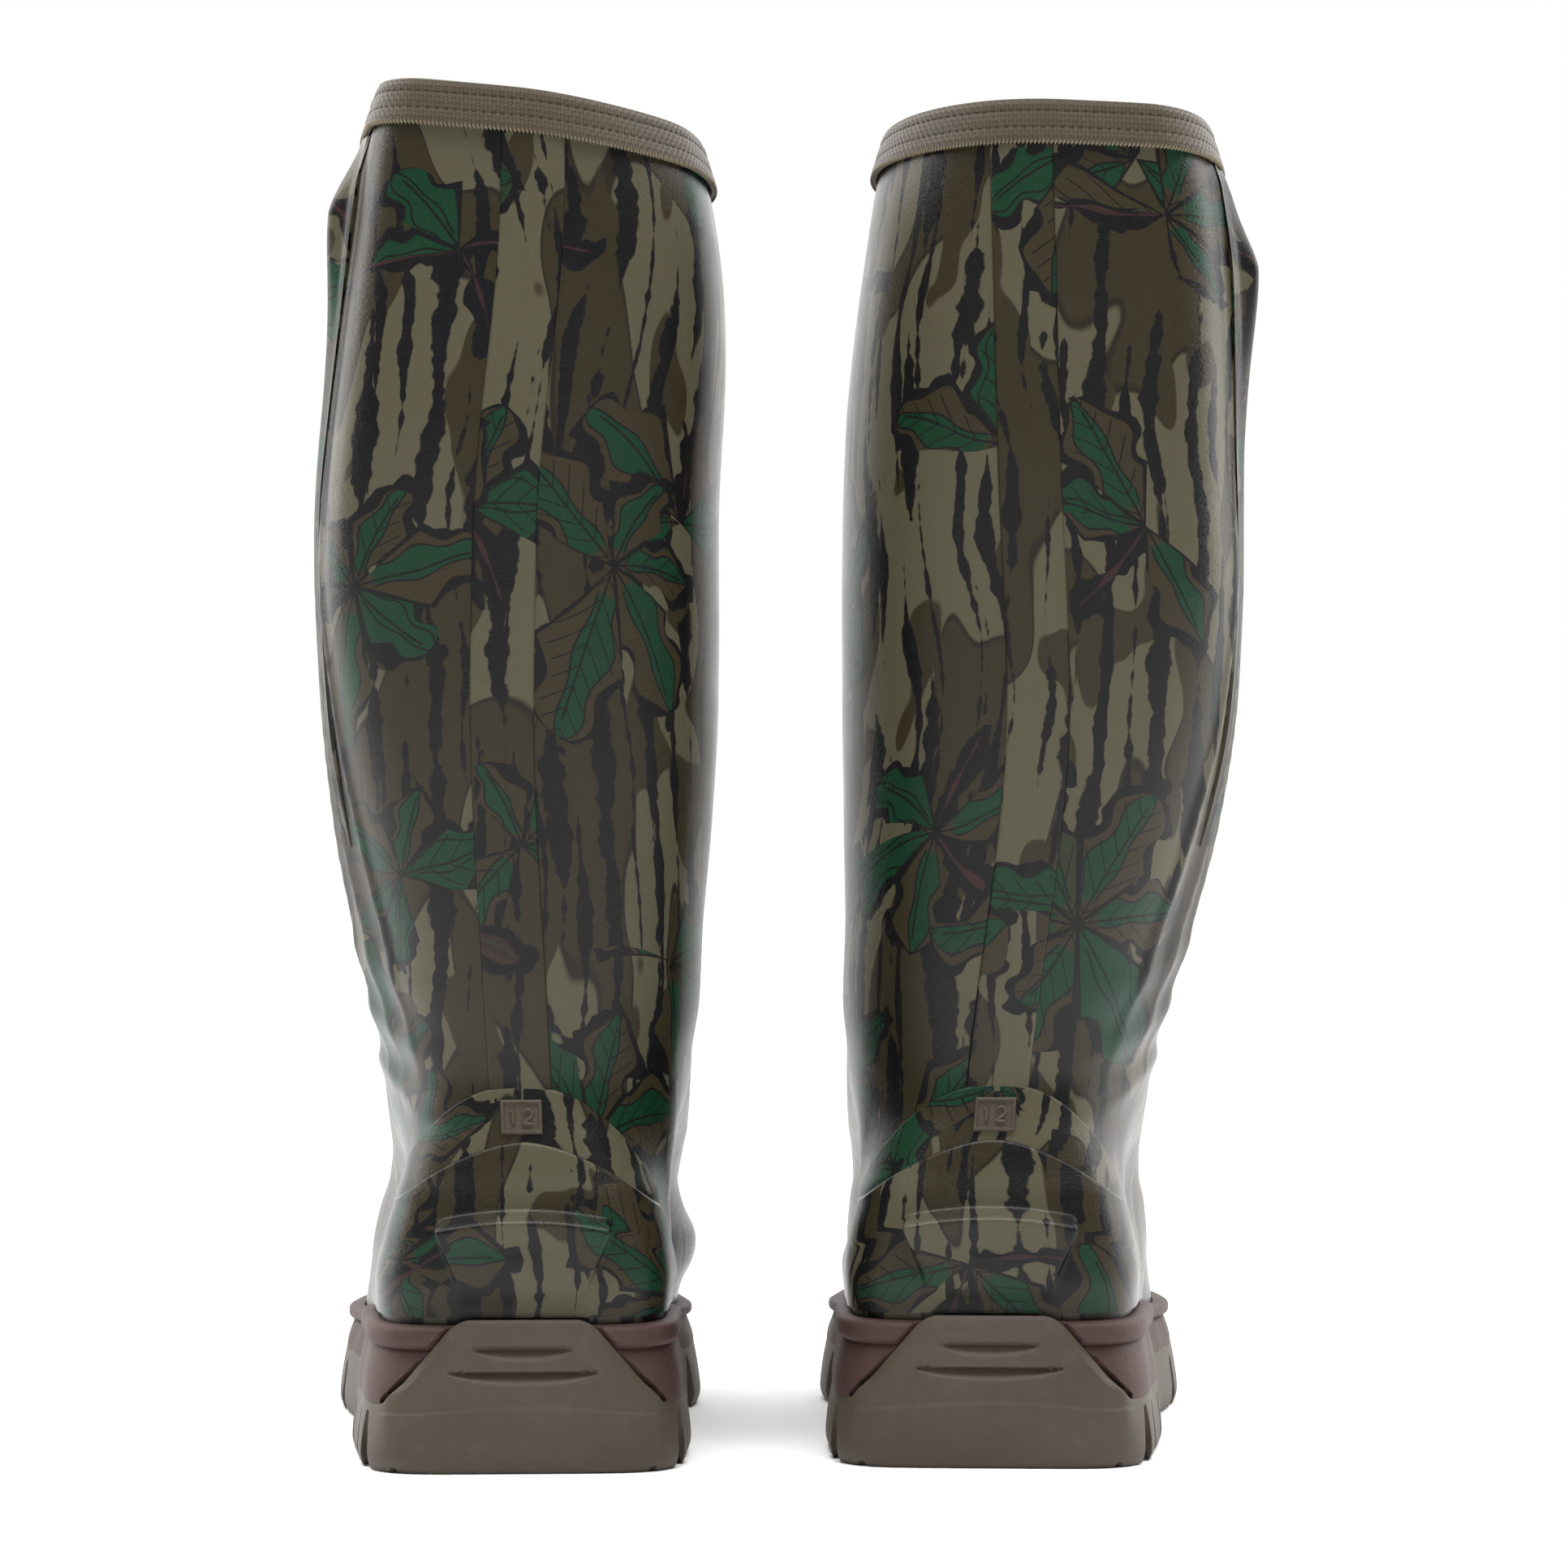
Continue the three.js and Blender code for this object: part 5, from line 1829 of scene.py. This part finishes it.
@dataclass
class Outsole:
    """Lugged rubber outsole with a heel tab, two scoops in it and notched edges."""

    plan: SolePlan
    tread: float = 6
    groove: float = 6
    notch: float = 17
    wall: float = 6.5
    tab_wall: float = 4.4
    heel_grooves: tuple = (28, 56, 80)
    fore_grooves: tuple = (172, 196, 220, 244, 268, 292)
    columns: int = 620
    wall_rows: int = 66
    bottom_steps: int = 56

    def off_groove(self, x: Array, y: Array) -> Array:
        """Distance to the nearest slanted groove or corner groove, or a long way at the middle line.

        Args:
            x: Distances across, in millimetres.
            y: Distances from the heel towards the toe, in millimetres.

        Returns:
            The distances, in millimetres.
        """
        lines = [np.abs(y - y0 - np.abs(x) * 0.16) for y0 in (*self.heel_grooves, *self.fore_grooves)]
        across = np.min(lines, axis=0) + 30 * (1 - smooth(np.abs(x), 10, 13))
        corner = np.abs(y - 13 - 1.3 * (57 - np.abs(x))) / 1.64 + 30 * (1 - smooth(np.abs(x), 38, 42))
        return np.minimum(across, corner)

    def ground(self, x: Array, y: Array) -> Array:
        """Height of the underside: toe spring, arch, grooves, and deeper notches at the edge.

        Args:
            x: Distances across, in millimetres.
            y: Distances from the heel towards the toe, in millimetres.

        Returns:
            The heights, in millimetres.
        """
        start = 0.74 * self.plan.length
        spring = self.plan.toe_spring * np.clip((y - start) / (self.plan.length + 5 - start), 0, 1) ** 2
        arch = smooth(y, 100, 108) * (1 - smooth(y, 142, 150))
        d = self.off_groove(x, y)
        floor = self.tread * np.maximum(arch, 1 - smooth(d, self.groove / 2 - 0.6, self.groove / 2 + 0.6))
        middle = self.tread * 0.6 * (1 - smooth(np.abs(x), 3, 4.2))
        middle = middle * smooth(y, 160, 170) * (1 - smooth(y, 290, 300))
        siping = 1.6 * (1 - smooth(np.abs(np.mod(y, 12) - 6), 0.5, 1.1)) * smooth(np.abs(x), 16, 18)
        return spring + np.maximum(np.maximum(floor, middle), siping * (1 - arch))

    def edge_notch(self, x: Array, y: Array) -> Array:
        """Height of the V cut in the side wall over the underside."""
        d = self.off_groove(x, y)
        return self.notch * np.clip(1 - d / 3.4, 0, 1) ** 0.7

    def rim_height(self, x: Array, y: Array) -> Array:
        """Top edge: the rim rises a little over each lug.

        Args:
            x: Distances across, in millimetres.
            y: Distances from the heel towards the toe, in millimetres.

        Returns:
            The heights, in millimetres.
        """
        lug = 1 - smooth(self.off_groove(x, y), 0, 9)
        wave = 2.4 * (1 - lug) * smooth(y, 30, 60)
        return self.plan.tab(x, y) + wave

    def scoops(self, x: Array, z: Array) -> Array:
        """Two smile-shaped hollows: crisp straight tops, and floors that fade to a curved edge.

        Args:
            x: Distances across, in millimetres.
            z: Heights in millimetres.

        Returns:
            The depths, in millimetres.
        """
        total = np.zeros(np.broadcast(x, z).shape)
        for top, half, tall in ((41.2, 17.5, 5.2), (33.4, 26, 5.2)):
            curve = np.clip(1 - (x / half) ** 2, 0, 1) ** 0.55
            below = (top - z) / np.maximum(tall * curve, 0.3)
            total = total + 3.2 * curve**0.35 * smooth(top - z, 0, 0.7) * np.clip(1 - below, 0, 1)
        return total

    def inset(self, x: Array, y: Array, z: Array) -> Array:
        """How far the side wall lies inside the widest outline.

        The sides bow out at 5 high. The heel has a step at the foot of the tab, leans in above it,
        and ends in a bevel at the tab's edge.

        Args:
            x: Distances across, in millimetres.
            y: Distances from the heel towards the toe, in millimetres.
            z: Heights in millimetres.

        Returns:
            The distances, in millimetres.
        """
        side = 1.5 * np.clip(1 - z / 5, 0, 1) ** 2 + 2.5 * np.clip((z - 5) / 17, 0, 1.3) ** 1.5
        heel = (1 - smooth(np.abs(x), 45, 51)) * (1 - smooth(y, 30, 45))
        step = 19.5 + 1.2 * np.cos(np.abs(x) / 47 * np.pi)
        tab = 1.5 * np.clip(1 - z / 5, 0, 1) ** 2 + 0.5 * smooth(z, 6, 18)
        tab = tab + 0.7 * smooth(z - step, 0, 1.4) + 0.7 * smooth(z, 22, 44)
        from_edge = self.plan.tab(x, y) - z
        bevel = 1.7 * np.clip(1 - from_edge / 4.6, 0, 1) * smooth(z, 24, 30)
        lip = 0.45 * hump(from_edge, 5.2, 0.9) * smooth(z, 24, 30)
        return mix(side, tab + bevel + lip + self.scoops(x, z), heel)

    def build(self, boot: Boot, finish: bpy.types.Material) -> None:
        """Builds the side wall, the top edge, the inside, the floor and the underside.

        Args:
            boot: Boot that takes the piece.
            finish: Material of the piece.
        """
        plan = self.plan
        a = plan.angles(self.columns)
        x0, y0 = plan.ring(a, 1.5)
        high = self.rim_height(x0, y0)
        low = np.minimum(self.ground(x0, y0) + self.edge_notch(x0, y0), high - 3)
        v = np.linspace(0, 1, self.wall_rows + 1)[:, None]
        z = mix(low[None], high[None], v)
        x, y = plan.ring(a[None], 0 * z)
        soft = np.clip(1 - (high[None] - z), 0, 1)
        wall = plan.line(a[None], self.inset(x, y, z) + 0.7 * soft**2, z)
        heel = (high > plan.rim + 3.5) & (y0 < plan.tab_reach)
        thick = np.where(heel, self.tab_wall, self.wall)
        ledge = plan.rim - 0.2
        levels = ((thick, high), (thick, ledge), (self.wall, ledge), (self.wall, plan.floor))
        inside = np.stack([plan.line(a, inset, level) for inset, level in levels])
        top = np.stack([wall[-1], inside[0]])
        bottom = self.blend_edge(wall[0], ladder(wall[0], self.bottom_steps, self.ground))
        patches = [Patch(wall), Patch(top), Patch(inside), Patch(ladder(inside[-1], 2)), Patch(bottom)]
        boot.add("outsole", patches, finish, Carrier.FOOT, "outsole_rubber", ("outsole",), 32)

    def blend_edge(self, ring: Array, grid: Array) -> Array:
        """Ramps the notches of the side wall down to the tread's grooves over 9 mm.

        Args:
            ring: Lower edge of the side wall.
            grid: Grid of the underside.

        Returns:
            The changed grid.
        """
        half = len(ring) // 2
        near, far = ring[: half + 1], ring[::-1][: half + 1]
        gap_near = np.abs(grid[:, :, 0] - near[:, None, 0])
        gap_far = np.abs(grid[:, :, 0] - far[:, None, 0])
        for gap, edge in ((gap_near, near), (gap_far, far)):
            own = self.ground(edge[:, 0], edge[:, 1])
            extra = np.clip(edge[:, 2] - own, 0, None)
            share = 1 - smooth(gap, 0, 9)
            lifted = grid[:, 1:-1, 2] + extra[:, None] * share[:, 1:-1]
            grid[:, 1:-1, 2] = np.maximum(grid[:, 1:-1, 2], lifted)
        return grid


@dataclass
class Midsole:
    """Foam cup with a crease under its rolled lip and a recess for the heel tab."""

    plan: SolePlan
    lip: float = 4
    lip_inset: float = 5
    columns: int = 560
    rows: int = 44

    def build(self, boot: Boot, finish: bpy.types.Material) -> None:
        """Builds the cup.

        Its outer face goes from an inset of 3 at the rim to a crease at 0.72 of its height, then
        bulges into the lip. Inside the tab's outline it lies behind the tab.

        Args:
            boot: Boot that takes the piece.
            finish: Material of the piece.
        """
        plan = self.plan
        a = plan.angles(self.columns)
        x0, y0 = plan.ring(a, 3.0)
        top = plan.lip(y0)
        base = plan.rim - 1.5
        v = np.linspace(0, 1, self.rows + 1)[:, None]
        z = mix(base, top[None], v)
        face = mix(2.6, 5.2, smooth(v, 0, 0.72)) - 0.9 * np.sin(np.pi * np.clip(v / 0.72, 0, 1))
        roll = 4.3 - 1.1 * np.sqrt(np.clip(1 - ((v - 0.86) / 0.14) ** 2, 0, 1))
        crease = 0.9 * hump(v, 0.72, 0.035)
        inset = np.where(v < 0.72, face, roll) + crease
        soft = np.clip((v - 0.93) / 0.07, 0, 1)
        inset = inset + 1.2 * soft**2
        facets = 0.5 * (1 - np.abs(np.mod(y0 / 24 + 0.2, 1) * 2 - 1))[None]
        facets = facets * np.sin(np.pi * np.clip(v / 0.7, 0, 1))
        inset = inset + facets * smooth(y0, 60, 90)[None]
        tab = plan.tab(x0, y0)[None]
        behind = smooth(tab + 0.9 - z, 0, 0.7) * ((y0[None] < plan.tab_reach) & (tab > plan.rim + 0.5))
        inset = mix(inset, np.maximum(inset, 5.3), behind)
        outer = plan.line(a[None], inset, z)
        rings = [plan.line(a, self.lip_inset + self.lip, level) for level in (top, plan.board(y0))]
        under = [plan.line(a, 6.9, level) for level in (base, plan.floor + 0.3)]
        lip = np.stack([outer[-1], rings[0], rings[1]])
        foot = np.stack([outer[0], under[0], under[1]])
        patches = [Patch(outer), Patch(lip), Patch(foot)]
        patches += [Patch(ladder(rings[1], 4)), Patch(ladder(under[1], 4))]
        boot.add("midsole", patches, finish, Carrier.FOOT, "midsole_foam", ("midsole",), 38)


@dataclass
class Footbed:
    """Removable foam footbed with a cupped heel, rounded edges and a cloth face."""

    plan: SolePlan
    inset: float = 18.9
    rise: float = 2.6
    thickness: float = 6
    columns: int = 220
    steps: int = 40

    def build(self, boot: Boot, finish: bpy.types.Material) -> None:
        """Builds the pad: its top is a shallow dish, |u|^3 higher at the edge.

        Args:
            boot: Boot that takes the piece.
            finish: Material of the piece.
        """
        plan = self.plan
        a = plan.angles(self.columns)
        rings = []
        for extra, height in ((1.2, 0.0), (0.0, 1.2), (0.0, self.thickness - 1.5), (1.4, self.thickness)):
            x, y = plan.ring(a, np.full(a.shape, self.inset + extra))
            rings.append(np.stack([x, y, plan.board(y) + self.rise + height], axis=-1))
        top = ladder(rings[-1], self.steps)
        u = np.linspace(-1, 1, self.steps + 1)[None, :]
        top[..., 2] -= 1.6 * (1 - np.abs(u) ** 3) * smooth(120 - top[..., 1], 0, 60)
        top[..., 2] += 0.25 * np.sin(top[..., 0] / 3.2) * np.sin(top[..., 1] / 3.2) * (1 - np.abs(u) ** 6)
        patches = [Patch(np.stack(rings)), Patch(top), Patch(ladder(rings[0], 2))]
        pad = boot.add("footbed", patches, finish, Carrier.FOOT, "footbed_foam", ("footbed",))


# ------------------------------------------------------------------------------ studio
@dataclass(frozen=True)
class Studio:
    """White floor, a surround that is brighter behind the boots than before them, and the camera."""

    camera_height: float = 0.226
    camera_distance: float = 1.748
    camera_aside: float = 0.0008
    lens: float = 122.5
    behind: float = 2.2
    before: float = 0.15

    def floor(self) -> None:
        """White floor."""
        size, level = 8.0, -0.0003
        corners = [(-size, -size, level), (size, -size, level), (size, size, level), (-size, size, level)]
        mesh = bpy.data.meshes.new("studio_floor")
        mesh.from_pydata(corners, [], [(0, 1, 2, 3)])
        floor = bpy.data.objects.new("studio_floor", mesh)
        bpy.context.scene.collection.objects.link(floor)
        ink = Painter("studio_floor")
        mesh.materials.append(ink.surface(Base_Color=(0.96, 0.96, 0.965), Roughness=0.9, Specular=0.1))

    def surround(self) -> None:
        """World light: its strength goes by the direction's y, and the camera sees plain white."""
        world = bpy.data.worlds.new("studio_surround")
        world.use_nodes = True
        bpy.context.scene.world = world
        tree = world.node_tree
        tree.nodes.clear()
        coords = tree.nodes.new("ShaderNodeTexCoord")
        split = tree.nodes.new("ShaderNodeSeparateXYZ")
        tree.links.new(coords.outputs["Generated"], split.inputs[0])
        y, z = Signal(tree, split.outputs[1]), Signal(tree, split.outputs[2])
        back = y.above(0.5, 0.65)
        strength = back * (self.behind - self.before) + self.before + z.above(0.72, 0.5) * 1.7
        lit = tree.nodes.new("ShaderNodeBackground")
        connect(tree, lit.inputs["Color"], (1.0, 1.0, 1.0))
        connect(tree, lit.inputs["Strength"], strength)
        plain = tree.nodes.new("ShaderNodeBackground")
        connect(tree, plain.inputs["Color"], (1.0, 1.0, 1.0))
        path = tree.nodes.new("ShaderNodeLightPath")
        choose = tree.nodes.new("ShaderNodeMixShader")
        tree.links.new(path.outputs["Is Camera Ray"], choose.inputs[0])
        tree.links.new(lit.outputs[0], choose.inputs[1])
        tree.links.new(plain.outputs[0], choose.inputs[2])
        out = tree.nodes.new("ShaderNodeOutputWorld")
        tree.links.new(choose.outputs[0], out.inputs[0])

    def softbox(self, name: str, at: tuple, aim: tuple, size: tuple, power: float) -> None:
        """Rectangular light at a place, turned to face another.

        Args:
            name: Name of the light.
            at: Its place.
            aim: Point that it faces.
            size: Width and height in metres.
            power: Power in watts.
        """
        light = bpy.data.lights.new(name, "AREA")
        light.shape = "RECTANGLE"
        light.size, light.size_y = size
        light.energy = power
        lamp = bpy.data.objects.new(name, light)
        bpy.context.scene.collection.objects.link(lamp)
        lamp.location = at
        direction = np.array(aim) - np.array(at)
        yaw = math.atan2(direction[1], direction[0]) - math.pi / 2
        pitch = math.atan2(direction[2], math.hypot(direction[0], direction[1])) + math.pi / 2
        lamp.rotation_euler = (pitch, 0, yaw)

    def camera(self, heel_y: float) -> None:
        """Level camera behind the heels.

        Args:
            heel_y: Place of the heels along y, in metres.
        """
        lens = bpy.data.cameras.new("camera")
        lens.lens = self.lens
        lens.sensor_width = 36
        camera = bpy.data.objects.new("camera", lens)
        bpy.context.scene.collection.objects.link(camera)
        camera.location = (self.camera_aside, heel_y - self.camera_distance, self.camera_height)
        camera.rotation_euler = (math.pi / 2, 0, 0)
        bpy.context.scene.camera = camera

    def build(self, heel_y: float) -> None:
        """Sets everything up.

        Args:
            heel_y: Place of the heels along y, in metres.
        """
        self.floor()
        self.surround()
        self.softbox("left_rim_light", (-1.5, 0.5, 0.9), (-0.1, 0, 0.25), (0.5, 1.6), 16)
        self.softbox("right_rim_light", (1.5, 0.5, 0.9), (0.1, 0, 0.25), (0.5, 1.6), 16)
        self.softbox("top_light", (0, -0.5, 1.6), (0, -0.15, 0.05), (1.3, 0.4), 22)
        self.camera(heel_y)
        bpy.context.scene.view_settings.view_transform = "Standard"


# ------------------------------------------------------------------------------ the pair
HINGE_AHEAD = 70
FORMS = {
    "left": UpperForm(-6.7, 7.5, -6.5, 6, 2, turn_degrees=-4, wing=7, wing_z=416, ball=6.5),
    "right": UpperForm(-1, 17, 2.5, -1.5, 4, turn_degrees=-9, wing=7, wing_z=399, ball=-2),
}


def dress_hidden_nodes(frame: dict, name: str, finishes: Finishes) -> None:
    """Gives the boot's remaining CAD nodes their finishes.

    Args:
        frame: The loaded frame.
        name: left or right.
        finishes: All materials.
    """
    wear = {
        "insole_board": finishes.board,
        "toe_puff": finishes.stiffener,
        "heel_counter": finishes.stiffener,
        "shank": finishes.steel,
    }
    for node, material in wear.items():
        mesh = frame["nodes"][f"{name}_{node}"].data
        mesh.materials.clear()
        mesh.materials.append(material)


def build_boot(boot: Boot, finishes: Finishes) -> None:
    """Builds every new piece of one boot, from the sole up.

    Args:
        boot: Boot to fill.
        finishes: Every material.
    """
    name = boot.name
    plan = SolePlan()
    Outsole(plan).build(boot, finishes.outsole)
    Midsole(plan).build(boot, finishes.midsole)
    Footbed(plan).build(boot, finishes.footbed)
    shell = Shell()
    shell.build(boot, finishes.printed[name, Print.PRINTED])
    Liner().build(boot, finishes.knit, shell.wall)
    Backstay().build(boot, finishes.printed[name, Print.STRIP], shell)
    heel = HeelOverlays()
    heel.build(boot, finishes.printed[name, Print.OVERLAY], finishes.printed[name, Print.HEEL])
    SizeBadge().build(boot, finishes.badge, heel.upper_wall)
    ToeCap().build(boot, finishes.printed[name, Print.HEEL])
    SideGusset().build(boot, finishes.printed[name, Print.GUSSET], shell)
    Binding().build(boot, finishes.tape, finishes.thread, finishes.serging)


def main() -> None:
    """Loads the frame, builds both boots around it and sets up the studio."""
    logging.basicConfig(level=logging.INFO, format="%(name)s: %(message)s")
    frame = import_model()
    finishes = Finishes()
    for name, side in (("left", -1), ("right", 1)):
        joint = next(j for j in frame["joints"] if j["name"] == f"{name}_ankle_flex")
        place = Placement.from_hinge(joint, side, HINGE_AHEAD)
        build_boot(Boot(name, place, FORMS[name]), finishes)
        dress_hidden_nodes(frame, name, finishes)
    Studio().build(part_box("left_outsole")[0].y)


if __name__ == "__main__":
    main()
